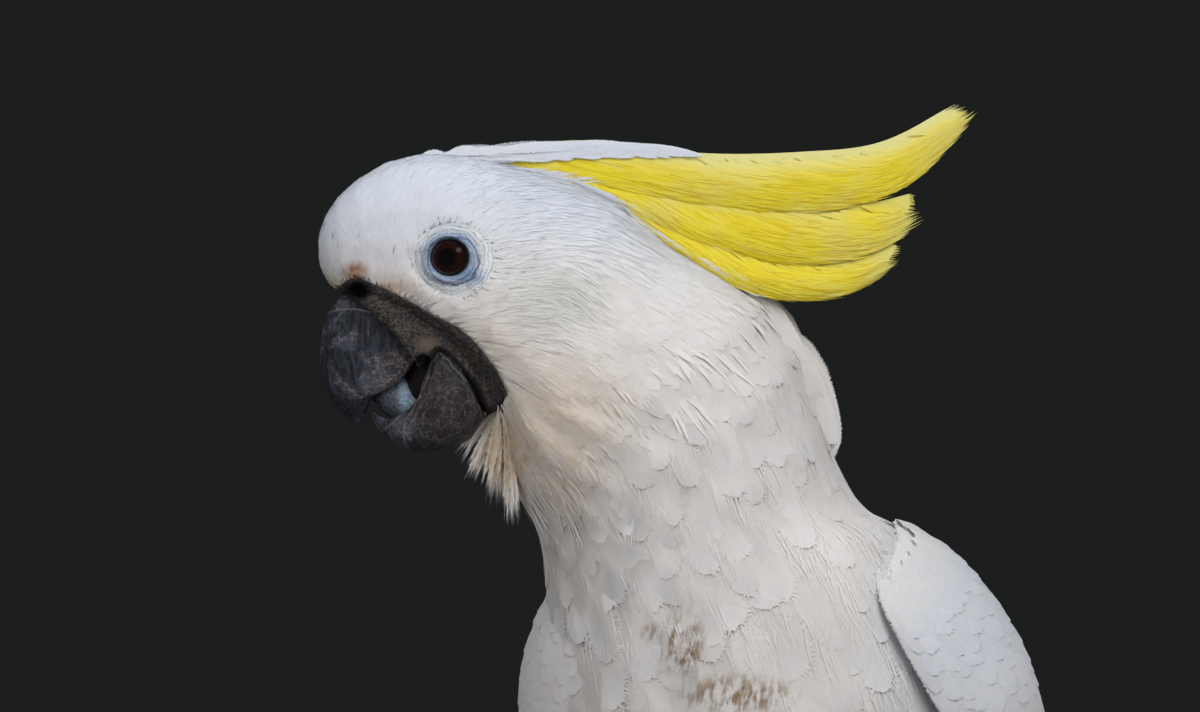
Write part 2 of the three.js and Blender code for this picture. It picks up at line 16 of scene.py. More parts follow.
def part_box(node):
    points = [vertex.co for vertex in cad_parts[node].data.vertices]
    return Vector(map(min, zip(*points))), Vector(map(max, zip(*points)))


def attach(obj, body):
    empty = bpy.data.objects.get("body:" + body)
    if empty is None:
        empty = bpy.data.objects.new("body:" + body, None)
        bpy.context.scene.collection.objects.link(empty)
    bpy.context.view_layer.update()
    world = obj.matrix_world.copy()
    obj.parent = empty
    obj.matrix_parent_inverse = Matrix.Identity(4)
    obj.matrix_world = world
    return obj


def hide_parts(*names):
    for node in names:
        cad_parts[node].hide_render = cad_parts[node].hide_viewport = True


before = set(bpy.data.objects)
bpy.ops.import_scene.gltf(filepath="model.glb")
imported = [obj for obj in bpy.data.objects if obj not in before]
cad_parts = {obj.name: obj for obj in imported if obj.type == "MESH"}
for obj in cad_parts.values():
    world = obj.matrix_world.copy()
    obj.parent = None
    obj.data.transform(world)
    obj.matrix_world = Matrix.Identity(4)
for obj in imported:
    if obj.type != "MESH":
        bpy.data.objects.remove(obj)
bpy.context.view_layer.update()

MM = 0.001
SIDES = {"left": 1, "right": -1}
THIN = 1.0  # a draft has fewer feathers

# ---------------------------------------------------------------- places
# Tables of head and trunk places are in millimetres from a point on the floor, and the eyes tie them to
# the frame.
TABLE_EYE = (-98.9, -34.0, 301.6)
TRUNK_YAW = math.radians(80)
TRUNK_FORWARD = np.array([-math.cos(TRUNK_YAW), -math.sin(TRUNK_YAW), 0.0])
TRUNK_LEFT = np.array([math.sin(TRUNK_YAW), -math.cos(TRUNK_YAW), 0.0])
EYE_TURN = math.radians(11)
UP = np.array([0, 0, 1.0])


def middle_of(node):
    low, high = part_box(node)
    return (np.array(low) + np.array(high)) / 2


EYES = {side: middle_of(f"eye_{side}") for side in SIDES}
EYE_MIDDLE = (EYES["left"] + EYES["right"]) / 2
SHIFT = EYE_MIDDLE - np.array(TABLE_EYE) * MM


def place(*table):
    """Points of a table, in millimetres, as metres in the frame."""
    return np.array(table, dtype=float) * MM + SHIFT


def head_place(x, lateral, z):
    return place(x, TABLE_EYE[1] - lateral, z)


def trunk_place(forward, left, z):
    flat = TRUNK_FORWARD * forward + TRUNK_LEFT * left
    return place(flat[0], flat[1], z)


# ---------------------------------------------------------------- small vector tools
def unit(v):
    return v / np.maximum(np.linalg.norm(v, axis=-1, keepdims=True), 1e-12)


def dot(a, b):
    return np.sum(a * b, axis=-1, keepdims=True)


def square_to(headings, normals):
    """The headings without their part along the normals."""
    return unit(headings - normals * dot(headings, normals))


def smooth_step(x, low, high):
    t = np.clip((x - low) / (high - low), 0, 1)
    return t * t * (3 - 2 * t)


def spline(points, t):
    """A Catmull-Rom curve through the rows of points, at each t from 0 to 1."""
    points = np.asarray(points, dtype=float)
    last = len(points) - 1
    padded = np.vstack([2 * points[0] - points[1], points, 2 * points[-1] - points[-2]])
    at = np.clip(np.asarray(t, dtype=float), 0, 1) * last
    i = np.minimum(at.astype(int), last - 1)
    f = (at - i)[..., None]
    a, b, c, d = (padded[i + k] for k in range(4))
    return b + f * (c - a + f * (2 * a - 5 * b + 4 * c - d + f * (3 * (b - c) + d - a))) / 2


# ---------------------------------------------------------------- meshes
def mesh_object(name, points, faces):
    mesh = bpy.data.meshes.new(name)
    mesh.from_pydata([tuple(p) for p in points], [], [tuple(f) for f in faces])
    mesh.update()
    mesh.shade_smooth()
    made = bpy.data.objects.new(name, mesh)
    bpy.context.scene.collection.objects.link(made)
    return made


def drop(thing):
    bpy.data.objects.remove(thing, do_unlink=True)


def applied(thing, name):
    """A new object that holds thing's mesh with its modifiers applied. thing is removed."""
    graph = bpy.context.evaluated_depsgraph_get()
    mesh = bpy.data.meshes.new_from_object(thing.evaluated_get(graph))
    made = bpy.data.objects.new(name, mesh)
    bpy.context.scene.collection.objects.link(made)
    drop(thing)
    return made


def joined_nodes(name, nodes, grow):
    """The CAD nodes in one mesh, each grown along its normals."""
    points, faces = [], []
    for node_name in nodes:
        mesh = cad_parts[node_name].data
        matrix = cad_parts[node_name].matrix_world
        first = len(points)
        for vertex in mesh.vertices:
            normal = (matrix.to_3x3() @ vertex.normal).normalized()
            points.append(matrix @ vertex.co + normal * grow)
        faces += [[first + i for i in polygon.vertices] for polygon in mesh.polygons]
    return mesh_object(name, points, faces)


def remeshed(thing, voxel, rounds, name):
    """One closed, evenly faced mesh from thing, smoothed."""
    remesh = thing.modifiers.new("voxels", "REMESH")
    remesh.mode = "VOXEL"
    remesh.voxel_size = voxel
    thing = applied(thing, name)
    smoothing = thing.modifiers.new("smoothing", "SMOOTH")
    smoothing.factor = 0.5
    smoothing.iterations = rounds
    thing = applied(thing, name)
    thing.data.shade_smooth()
    return thing


def arrays_of(mesh):
    points = np.empty(len(mesh.vertices) * 3)
    normals = np.empty(len(mesh.vertices) * 3)
    mesh.vertices.foreach_get("co", points)
    mesh.vertices.foreach_get("normal", normals)
    return points.reshape(-1, 3), normals.reshape(-1, 3)


def set_points(mesh, points):
    mesh.vertices.foreach_set("co", np.asarray(points).ravel())
    mesh.update()


def cut_by(thing, tool, name, operation="DIFFERENCE"):
    boolean = thing.modifiers.new("cut", "BOOLEAN")
    boolean.operation = operation
    boolean.solver = "EXACT"
    boolean.object = tool
    made = applied(thing, name)
    drop(tool)
    return made


def merged_objects(name, *things):
    """One object that holds the meshes of all the things, which are removed."""
    points, faces = [], []
    for thing in things:
        first = len(points)
        points += [v.co.copy() for v in thing.data.vertices]
        faces += [[first + i for i in polygon.vertices] for polygon in thing.data.polygons]
        drop(thing)
    return mesh_object(name, points, faces)


# ---------------------------------------------------------------- the surface that feathers lie on
class Surface:
    """A smooth form, with the nearest point and normal of any place, and roots spread over it."""

    def __init__(self, thing):
        mesh = thing.data
        mesh.calc_loop_triangles()
        self.points, self.normals = arrays_of(mesh)
        self.corners = np.array([t.vertices[:] for t in mesh.loop_triangles])
        self.tree = BVHTree.FromPolygons(self.points.tolist(), self.corners.tolist())
        a, b, c = (self.points[self.corners[:, k]] for k in range(3))
        self.areas = np.linalg.norm(np.cross(b - a, c - a), axis=1) / 2
        self.centres = (a + b + c) / 3
        self.face_normals = unit(self.normals[self.corners].sum(axis=1))

    def nearest(self, places):
        """The nearest point and the smooth normal there, for each of places."""
        found, normals = np.empty_like(places), np.empty_like(places)
        for i, p in enumerate(places.tolist()):
            at, _, face, _ = self.tree.find_nearest(p)
            found[i] = at
            normals[i] = self.face_normals[face]
        return found, normals

    def roots(self, count, density, rng):
        """count random roots, as many per area as density(centres, normals) asks."""
        weight = self.areas * density(self.centres, self.face_normals)
        faces = rng.choice(len(weight), count, p=weight / weight.sum())
        u, v = rng.random((2, count, 1))
        fold = u + v > 1
        u, v = np.where(fold, 1 - u, u), np.where(fold, 1 - v, v)
        a, b, c = (self.points[self.corners[faces, k]] for k in range(3))
        na, nb, nc = (self.normals[self.corners[faces, k]] for k in range(3))
        return a + u * (b - a) + v * (c - a), unit(na + u * (nb - na) + v * (nc - na))

    def even_roots(self, spacing, keep, rng):
        """Roots no nearer to each other than spacing(points), where keep(points, normals) is true."""
        kept = keep(self.centres, self.face_normals)
        gap = spacing(self.centres)
        wanted = int((self.areas * kept / gap**2).sum() * 5)
        points, normals = self.roots(wanted, lambda c, n: kept / gap**2, rng)
        gaps = spacing(points)
        cell = gaps.max()
        grid, chosen = {}, []
        cells = np.floor(points / cell).astype(int)
        for i, (x, y, z) in enumerate(cells.tolist()):
            p, reach = points[i], gaps[i] ** 2
            near = (
                q
                for dx in (-1, 0, 1)
                for dy in (-1, 0, 1)
                for dz in (-1, 0, 1)
                for q in grid.get((x + dx, y + dy, z + dz), ())
            )
            if all((p[0] - q[0]) ** 2 + (p[1] - q[1]) ** 2 + (p[2] - q[2]) ** 2 > reach for q in near):
                grid.setdefault((x, y, z), []).append(p.tolist())
                chosen.append(i)
        return points[chosen], normals[chosen]


# ---------------------------------------------------------------- the lie of the feathers
# The middle line of the body from the bill to the tail's tip, in table places.
BODY_LINE = np.array(
    [
        place(x, TABLE_EYE[1], z)
        for x, z in ((-137, 304), (-120, 305), (-97, 301), (-82, 295), (-68, 288), (-56, 277))
    ]
    + [place(-45.5, -32.5, 265), place(-38.5, -31, 252), place(-34, -30, 238)]
    + [
        trunk_place(*at)
        for at in (
            (33, -24, 223), (31, -16, 200), (24, -9, 172), (6, -4, 140), (-15, -1, 113),
            (-42, 0, 97), (-68, 0, 90), (-95, 0, 85), (-122, 0, 75), (-180, 0, 48), (-239, 0, 18),
        )
    ]
)
LINE = spline(BODY_LINE, np.linspace(0, 1, 400))
LINE_STEPS = np.linalg.norm(np.diff(LINE, axis=0), axis=1)
LINE_REACH = np.concatenate([[0], np.cumsum(LINE_STEPS)])
LINE_TANGENT = unit(np.gradient(LINE, axis=0))
BILL_ROOT = head_place(-116, 0, 283)


def along_body(points):
    """How far along the body's line each point lies, in metres, and the line's direction there."""
    nearest = np.empty(len(points), dtype=int)
    for first in range(0, len(points), 4000):
        block = points[first : first + 4000]
        nearest[first : first + 4000] = ((block[:, None] - LINE[None]) ** 2).sum(axis=2).argmin(axis=1)
    return LINE_REACH[nearest], LINE_TANGENT[nearest], nearest


def lie(points, normals):
    """The direction in which feathers point: away from the bill on the face, and tailward behind it."""
    _, tailward, _ = along_body(points)
    outward = unit(points - BILL_ROOT)
    share = smooth_step(np.linalg.norm(points - BILL_ROOT, axis=1), 0.025, 0.085)[:, None]
    heading = outward * (1 - share) + tailward * share
    return square_to(heading, normals)


def unwrap(points):
    """A map of the body's own shape: the angle round the body's line, and the distance along it."""
    reach, tangent, nearest = along_body(points)
    across = points - LINE[nearest]
    left = unit(np.cross(tangent, UP))
    over = np.cross(left, tangent)
    angle = np.arctan2(dot(across, left)[:, 0], -dot(across, over)[:, 0])
    return np.stack([0.5 + angle / (2 * math.pi) * 0.96, 0.02 + 0.95 * reach / LINE_REACH[-1]], axis=1)


# ---------------------------------------------------------------- the forms under the coat
FLESH = ["head", "neck", "trunk", "thigh_left", "thigh_right"]
WINGS = ["wing_left", "wing_right"]
SKIN_VOXEL = 1.2 * MM
WING_VOXEL = 1.5 * MM
GAP_FILL = 0.5 * MM  # closes the clearance between neighbouring nodes
FLUFF = 6.5 * MM  # how far the breast is fluffed out to the wings
FLUFF_REACH = 30 * MM  # how far from a wing the fluffing ends
FEWER_FACES = 0.6  # the share of the skin's faces that is kept, as the coat hides it
WING_FRONT = 0.210  # the height over which a wing's skin is rounded, and how many times
WING_ROUNDS = 8


def coat_depth(points):
    """How far the skin lies under the feathers' tips: little on the face, more behind it."""
    reach, _, _ = along_body(points)
    return 0.8 * MM + 1.7 * MM * smooth_step(reach, 0.05, 0.16)


def tree_of(nodes):
    """A search tree over the CAD nodes' own surfaces."""
    points, faces = [], []
    for name in nodes:
        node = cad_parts[name]
        first = len(points)
        points += [node.matrix_world @ v.co for v in node.data.vertices]
        faces += [[first + i for i in polygon.vertices] for polygon in node.data.polygons]
    return BVHTree.FromPolygons(points, faces)


def distances(tree, points):
    return np.array([tree.find_nearest(p)[3] for p in points.tolist()])


# The throat's feathers fan out from the corner of the jaw like combed hair, in long soft folds.
COMB_ROOT = head_place(-85, 0, 264)


def comb_relief(points):
    offset = (points - COMB_ROOT) / MM
    away = np.hypot(offset[:, 0], offset[:, 2])
    angle = np.arctan2(-offset[:, 2], offset[:, 0])
    zone = smooth_step(away, 5, 16) * smooth_step(away, 80, 35)
    folds = np.zeros(len(points))
    for i in np.flatnonzero(zone > 0.01):
        folds[i] = noise.noise(Vector((angle[i] * 6.5, away[i] * 0.028, 0))) + 0.5 * noise.noise(
            Vector((angle[i] * 15.0, away[i] * 0.05, 5))
        )
    return folds * zone * 0.75 * MM


skin = remeshed(joined_nodes("feathered_skin", FLESH, GAP_FILL), SKIN_VOXEL, 6, "feathered_skin")
skin_points, skin_normals = arrays_of(skin.data)
wing_tree = tree_of(WINGS)
# The breast is fluffed out to the wings' leading edges.
breast_reach = along_body(skin_points)[0]
on_breast = smooth_step(breast_reach, 0.13, 0.16) * smooth_step(breast_reach, 0.34, 0.28)
on_breast *= smooth_step(skin_points[:, 2], 0.232, 0.220) * smooth_step(skin_normals[:, 0], -0.4, 0.0)
fluff = smooth_step(distances(wing_tree, skin_points), FLUFF_REACH, 4 * MM) * on_breast * FLUFF
set_points(skin.data, skin_points + skin_normals * (comb_relief(skin_points) + fluff)[:, None])
body = Surface(skin)
bill_tree = tree_of(["upper_bill", "lower_bill", "bill_base", "tongue"])

# ---------------------------------------------------------------- bare zones
# The edge of the dark skin round the bill, seen from the side, and then a way back through the bill.
FEATHER_LINE = [
    (-132.0, 292.2), (-129.6, 295.0), (-125.7, 296.0), (-122.3, 294.4), (-114.3, 290.5), (-109.4, 288.3),
    (-104.9, 285.4), (-97.7, 282.0), (-94.3, 279.1), (-90.6, 275.4), (-86.6, 269.7), (-83.6, 262.8),
    (-86.3, 259.7), (-90.0, 256.3),
]
BARE_OUTLINE = FEATHER_LINE + [(-100, 246), (-128, 248), (-142, 270), (-139, 292.2)]
# The side of the lower bill that the skin leaves bare.
LOWER_HORN = [
    (-107.6, 265.1), (-106.1, 270.4), (-104.8, 273.4), (-103.1, 275.2), (-100.2, 273.6), (-96.2, 269.1),
    (-92.4, 265.1), (-91.0, 261.5), (-90.4, 255.0), (-96.0, 247.0), (-108.0, 243.0), (-114.0, 252.0),
]


def depth_in(outline, points):
    """How far the points lie inside an outline seen from the side, in millimetres, negative outside."""
    flat = ((points - SHIFT) / MM)[:, (0, 2)]
    corners = np.array(outline, dtype=float)
    nearest = np.full(len(flat), 1e9)
    inside = np.zeros(len(flat), dtype=bool)
    for start, end in zip(corners, np.roll(corners, -1, axis=0)):
        edge = end - start
        share = np.clip((flat - start) @ edge / (edge @ edge), 0, 1)
        nearest = np.minimum(nearest, np.linalg.norm(flat - start - share[:, None] * edge, axis=1))
        crosses = (start[1] > flat[:, 1]) != (end[1] > flat[:, 1])
        at = start[0] + (flat[:, 1] - start[1]) * edge[0] / (edge[1] if edge[1] else 1e-9)
        inside ^= crosses & (flat[:, 0] < at)
    return np.where(inside, nearest, -nearest)


def in_bare_skin(points):
    return depth_in(BARE_OUTLINE, points) > 0


near_bill = smooth_step(distances(bill_tree, skin_points), 4 * MM, 0) * 1.2 * MM
near_bill = near_bill + in_bare_skin(skin_points) * 0.8 * MM
set_points(skin.data, body.points - body.normals * (coat_depth(body.points) + near_bill)[:, None])
fewer = skin.modifiers.new("fewer", "DECIMATE")
fewer.ratio = FEWER_FACES
skin = applied(skin, "feathered_skin")
skin.data.shade_smooth()


def rounded_above(thing, lowest, rounds):
    """Smooths the part of a mesh that is higher than lowest, as the round front of a wing."""
    shape = bmesh.new()
    shape.from_mesh(thing.data)
    high = [v for v in shape.verts if v.co.z > lowest]
    for _ in range(rounds):
        bmesh.ops.smooth_vert(
            shape, verts=high, factor=0.5, use_axis_x=True, use_axis_y=True, use_axis_z=True
        )
    shape.to_mesh(thing.data)
    shape.free()


wing_skins = {}
for side in SIDES:
    name = f"wing_skin_{side}"
    wing_skins[side] = remeshed(joined_nodes(name, [f"wing_{side}"], 0), WING_VOXEL, 3, name)
    rounded_above(wing_skins[side], WING_FRONT, WING_ROUNDS)
    wing_points, wing_normals = arrays_of(wing_skins[side].data)
    inset = 0.3 * MM + 1.5 * MM * smooth_step(wing_points[:, 2], 0.07, 0.12)
    set_points(wing_skins[side].data, wing_points - wing_normals * inset[:, None])
    wing_skins[side].data.shade_smooth()

EYE_AXES = {
    side: np.array([-math.sin(EYE_TURN), -sign * math.cos(EYE_TURN), 0.0]) for side, sign in SIDES.items()
}
RING_OUTER = (10.9 * MM, 9.5 * MM)  # half the length and height of the bare skin round the eye


def eye_frame(side):
    """The eye's middle, and the unit vectors backward, up and outward there."""
    out = EYE_AXES[side]
    back = np.cross(UP, out)
    back *= np.sign(back[0])
    return EYES[side], back, UP, out


def eye_zone(points):
    """Below 1 within the bare skin round either eye."""
    nearest = np.full(len(points), 9.0)
    for side in SIDES:
        middle, back, up, out = eye_frame(side)
        offset = points - middle
        x = dot(offset, back)[:, 0] - 1.4 * MM
        z = dot(offset, up)[:, 0] + 0.9 * MM
        outward = dot(offset, out)[:, 0]
        oval = np.hypot(x / RING_OUTER[0], z / RING_OUTER[1])
        nearest = np.minimum(nearest, np.where(outward > -4 * MM, oval, 9.0))
    return nearest


def open_to_air(points, normals):
    """True where neither the body nor a wing stands in front of the point."""
    seen = []
    for p, n in zip((points + normals * 0.4 * MM).tolist(), normals.tolist()):
        hits = [tree.ray_cast(p, n, 14 * MM)[0] for tree in (body.tree, wing_tree)]
        seen.append(hits == [None, None])
    return np.array(seen)


def near_open(points, is_open, reach):
    """True for the open points, and for those within reach of one, as under a wing's edge."""
    tree = KDTree(int(is_open.sum()))
    for i in np.flatnonzero(is_open):
        tree.insert(points[i], int(i))
    tree.balance()
    return is_open | np.array([tree.find(p)[2] < reach for p in points.tolist()])


def feathered(points, normals):
    clear = (distances(bill_tree, points) > 0.9 * MM) & ~in_bare_skin(points) & (points[:, 2] > 37 * MM)
    kept = clear & (eye_zone(points) > 1)
    return kept & near_open(points, open_to_air(points, normals), 24 * MM)


# ---------------------------------------------------------------- feathers as flat templates
# A template is a feather with its root at along 0 and its tip at along 1, and across from -0.5 to 0.5.
# Each corner also has a height as a share of the width, its barb's number, and its place from shaft to edge.
class Template:
    def __init__(self):
        self.corners = []
        self.triangles = []

    def corner(self, along, across, height, barb, edge):
        self.corners.append((along, across, height, barb, edge))
        return len(self.corners) - 1

    def quad(self, a, b, c, d):
        self.triangles += [(a, b, c), (a, c, d)]

    def done(self):
        """Turns every triangle to face up, and keeps all as arrays."""
        self.corners = np.array(self.corners)
        self.triangles = np.array(self.triangles)
        a, b, c = (self.corners[self.triangles[:, k], :2] for k in range(3))
        area = (b[:, 0] - a[:, 0]) * (c[:, 1] - a[:, 1]) - (b[:, 1] - a[:, 1]) * (c[:, 0] - a[:, 0])
        self.triangles[area < 0] = self.triangles[area < 0][:, ::-1]
        return self


def tuft(rng, barbs=7, slim=1.0):
    """A small face feather: a few free barbs that fan out of one root."""
    made = Template()
    for j in range(barbs):
        fan = 2 * j / (barbs - 1) - 1 + rng.normal(0, 0.08)
        reach = 1 - 0.32 * fan**2 + rng.normal(0, 0.05)
        height = rng.normal(0, 0.05)
        half = slim * rng.uniform(0.8, 1.2) / barbs * 0.62
        rows = []
        for t, wide in ((0.0, 0.7), (0.38, 1.0), (0.74, 0.8)):
            across = 0.42 * fan * (0.12 + 0.88 * t**0.8)
            row = [made.corner(t * reach, across + s * half * wide, height * t, j, abs(fan)) for s in (-1, 1)]
            rows.append(row)
        tip = made.corner(reach, 0.42 * fan + rng.normal(0, 0.03), height, j, abs(fan))
        for low, high in zip(rows, rows[1:]):
            made.quad(low[0], low[1], high[1], high[0])
        made.triangles.append((rows[-1][0], rows[-1][1], tip))
    return made.done()


def vane(rng, barbs=16, tip_round=0.72, ragged=0.05, free=0.2, start=0.1, camber=0.1, tuck=0.03):
    """A broad feather: barbs joined from the shaft most of the way, with free tips round the edge.

    camber is how far the edges drop, and tuck how far the free tips bend down, as shares of the width.
    """
    made = Template()
    inner = 1 - free
    for side in (-1, 1):
        lines = []
        for i in range(barbs + 1):
            s = i / barbs
            shaft = 0.93 * s**0.9
            round_to = start + (1 - start) * s
            end_along = 0.04 + 0.96 * (0.5 - 0.5 * math.cos(math.pi * round_to**0.92))
            end_across = 0.5 * side * math.sin(math.pi * round_to) ** tip_round if i < barbs else 0.0
            end_along += rng.normal(0, ragged * 0.3)
            line = []
            for q in (0.0, inner):
                along = shaft + (end_along - shaft) * q + 0.16 * q * (1 - q)
                across = end_across * q
                line.append(made.corner(along, across, -camber * (2 * across) ** 2, i, q))
            lines.append((line, end_along, end_across))
        for (low, low_along, low_across), (high, high_along, high_across) in zip(lines, lines[1:]):
            made.quad(low[0], low[1], high[1], high[0])
            reach = 1 + rng.normal(0, ragged)
            along = (low_along + high_along) / 2 * reach
            across = (low_across + high_across) / 2 * (1 + rng.normal(0, ragged))
            number = made.corners[low[0]][3] + 0.5
            tip = made.corner(along, across, -camber * (2 * across) ** 2 - tuck, number, 1.0)
            made.triangles.append((low[1], tip, high[1]))
    return made.done()


def strand(rng):
    """One long hair-like barb."""
    made = Template()
    steps = 3
    sway = rng.normal(0, 0.3)
    rows = []
    for i in range(steps):
        t = i / steps
        across = sway * t * t
        wide = 0.5 * (1 - 0.5 * t)
        rows.append([made.corner(t, across + s * wide, 0.0, i, t) for s in (-1, 1)])
    tip = made.corner(1.0, sway, 0.0, steps, 1.0)
    for low, high in zip(rows, rows[1:]):
        made.quad(low[0], low[1], high[1], high[0])
    made.triangles.append((rows[-1][0], rows[-1][1], tip))
    return made.done()


# ---------------------------------------------------------------- laying feathers
FOLLOW = 0.5  # how much a feather's path turns with the lie of its surroundings, not straight on


def conform(surface, roots, normals, headings, lengths, widths, along_steps, across_steps):
    """A grid of points for each feather, from the root along the surface and out to both edges."""
    count = len(roots)
    grid = np.empty((count, along_steps, across_steps, 3))
    facing = np.empty_like(grid)
    at, normal, heading = roots, normals, headings
    step = (lengths / (along_steps - 1))[:, None]
    for i in range(along_steps):
        if i:
            at, normal = surface.nearest(at + heading * step)
            heading = heading - normal * dot(heading, normal)
            heading = unit(unit(heading) * (1 - FOLLOW) + lie(at, normal) * FOLLOW)
        sideways = np.cross(normal, heading)
        middle = across_steps // 2
        grid[:, i, middle], facing[:, i, middle] = at, normal
        for j in range(across_steps):
            if j == middle:
                continue
            share = (j - middle) / (across_steps - 1)
            there = at + sideways * (widths[:, None] * share)
            grid[:, i, j], facing[:, i, j] = surface.nearest(there)
    return grid, facing


def on_grid(grid, along, across):
    """Values of the feathers' grids at a template's corners: bilinear, for each feather."""
    rows, columns = grid.shape[1:3]
    u = np.clip(along, 0, 1.15) * (rows - 1)
    i = np.minimum(u.astype(int), rows - 2)
    f = (u - i)[None, :, None]
    if columns == 1:
        return grid[:, i, 0] * (1 - f) + grid[:, i + 1, 0] * f
    v = np.clip(across + 0.5, -0.1, 1.1) * (columns - 1)
    j = np.clip(v.astype(int), 0, columns - 2)
    g = (v - j)[None, :, None]
    low = grid[:, i, j] * (1 - g) + grid[:, i, j + 1] * g
    high = grid[:, i + 1, j] * (1 - g) + grid[:, i + 1, j + 1] * g
    return low * (1 - f) + high * f


def facing_up(triangles, points, normals):
    """The triangles, each turned to the side that its normals show."""
    a, b, c = (points[triangles[:, k]] for k in range(3))
    against = dot(np.cross(b - a, c - a), normals[triangles].sum(axis=1))[:, 0] < 0
    triangles = triangles.copy()
    triangles[against] = triangles[against][:, ::-1]
    return triangles


class Coat:
    """Feathers gathered into one mesh, with what the shader needs to know of each, and their patches on the
    OFBake map.
    """

    def __init__(self, name):
        self.name = name
        self.points, self.normals, self.triangles = [], [], []
        self.barbs, self.patches, self.count = [], [], 0

    def lay(
        self, templates, grid, facing, lengths, widths, low, high, rng, soft=0.5, roll=5.0, marks=None
    ):
        """Feathers from their grids. low and high are the heights of root and tip over the surface.

        soft is how far the shading follows the surface instead of the feather, and roll is in degrees.

        marks is a grid of two numbers that the shader gets in place of the way along and the tone.
        """
        count = len(grid)
        kinds = rng.integers(0, len(templates), count)
        places = unwrap(grid[:, 0, grid.shape[2] // 2])
        tone = rng.random(count)
        rolls = np.radians(rng.normal(0, roll, count))
        for kind, template in enumerate(templates):
            mine = np.flatnonzero(kinds == kind)
            if not len(mine):
                continue
            along, across, height, barb, _ = template.corners.T
            base = on_grid(grid[mine], along, across)
            normal = unit(on_grid(facing[mine], along, across))
            ahead = unit(on_grid(np.gradient(grid[mine], axis=1), along, across))
            sideways = np.cross(normal, ahead)
            long, wide = lengths[mine][:, None], widths[mine][:, None]
            if grid.shape[2] == 1:
                base = base + sideways * (across[None] * wide)[..., None]
            first, last = low[mine][:, None], high[mine][:, None]
            lift = first + (last - first) * along[None] ** 0.85
            lift = lift + wide * (height[None] + across[None] * np.sin(rolls[mine])[:, None])
            slope = (last - first) / long
            camber = -0.5 * across[None] + np.sin(rolls[mine])[:, None]
            tilted = unit(normal - ahead * slope[..., None] - sideways * camber[..., None])
            shown = unit(normal * soft + tilted * (1 - soft))
            size = len(template.corners)
            self.points.append((base + normal * lift[..., None]).reshape(-1, 3))
            self.normals.append(shown.reshape(-1, 3))
            steps = self.count + np.arange(len(mine))[:, None, None] * size
            self.triangles.append((template.triangles[None] + steps).reshape(-1, 3))
            self.count += len(mine) * size
            across_mm = barb[None] + 37 * tone[mine][:, None]
            told = (along[None], tone[mine][:, None])
            if marks is not None:
                told = np.moveaxis(on_grid(marks[mine], along, across), -1, 0)
            facts = np.stack(np.broadcast_arrays(across_mm, *told), axis=-1)
            self.barbs.append(facts.reshape(-1, 3))
            patch = places[mine][:, None] + np.stack([across, along - 0.5], axis=1)[None] * 0.003
            self.patches.append(patch.reshape(-1, 2))

    def lay_one(self, templates, grid, facing, length, width, low, high, **how):
        """A single feather, with plain numbers in place of the rows."""
        rows = (np.array([value]) for value in (length, width, low, high))
        self.lay(templates, grid[None], facing[None], *rows, rng, **how)

    def made(self, finish, slot_name, *nodes):
        points = np.concatenate(self.points)
        triangles = facing_up(np.concatenate(self.triangles), points, np.concatenate(self.normals))
        print(self.name, len(triangles), "triangles")
        thing = array_mesh(self.name, points, triangles)
        mesh = thing.data
        mesh.materials.append(finish)
        facts = mesh.attributes.new("vane", "FLOAT_VECTOR", "POINT")
        facts.data.foreach_set("vector", np.concatenate(self.barbs).astype(np.float32).ravel())
        corners = triangles.ravel()
        layer = mesh.uv_layers.new(name="OFBake")
        layer.data.foreach_set("uv", np.clip(np.concatenate(self.patches)[corners], 0, 1).ravel())
        mesh.normals_split_custom_set_from_vertices(np.concatenate(self.normals).tolist())
        return shown(thing, slot_name, *nodes)


def array_mesh(name, points, triangles):
    mesh = bpy.data.meshes.new(name)
    mesh.vertices.add(len(points))
    mesh.vertices.foreach_set("co", points.astype(np.float32).ravel())
    mesh.loops.add(triangles.size)
    mesh.loops.foreach_set("vertex_index", triangles.astype(np.int32).ravel())
    mesh.polygons.add(len(triangles))
    mesh.polygons.foreach_set("loop_start", np.arange(0, triangles.size, 3, dtype=np.int32))
    mesh.update(calc_edges=True)
    mesh.shade_smooth()
    made = bpy.data.objects.new(name, mesh)
    bpy.context.scene.collection.objects.link(made)
    return made


def shown(thing, slot_name, *nodes):
    """Hangs a finished piece on the body, and hides the nodes that it stands for. slot_name is not used."""
    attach(thing, "root")
    if nodes:
        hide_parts(*nodes)
    return thing


def dressed(thing, finish, slot_name, *nodes):
    """Gives a piece its one material, hangs it on the body, and hides its nodes."""
    thing.data.materials.clear()
    thing.data.materials.append(finish)
    shown(thing, slot_name, *nodes)


def strip(path, outward, width):
    """The grid of a feather along a path, and its normals, which are square to the path."""
    ahead = unit(np.gradient(path, axis=0))
    outward = square_to(outward, ahead)
    across = np.cross(outward, ahead)
    grid = np.stack([path + across * width * c for c in (-0.5, 0, 0.5)], axis=1)
    return grid, np.repeat(outward[:, None], 3, axis=1)


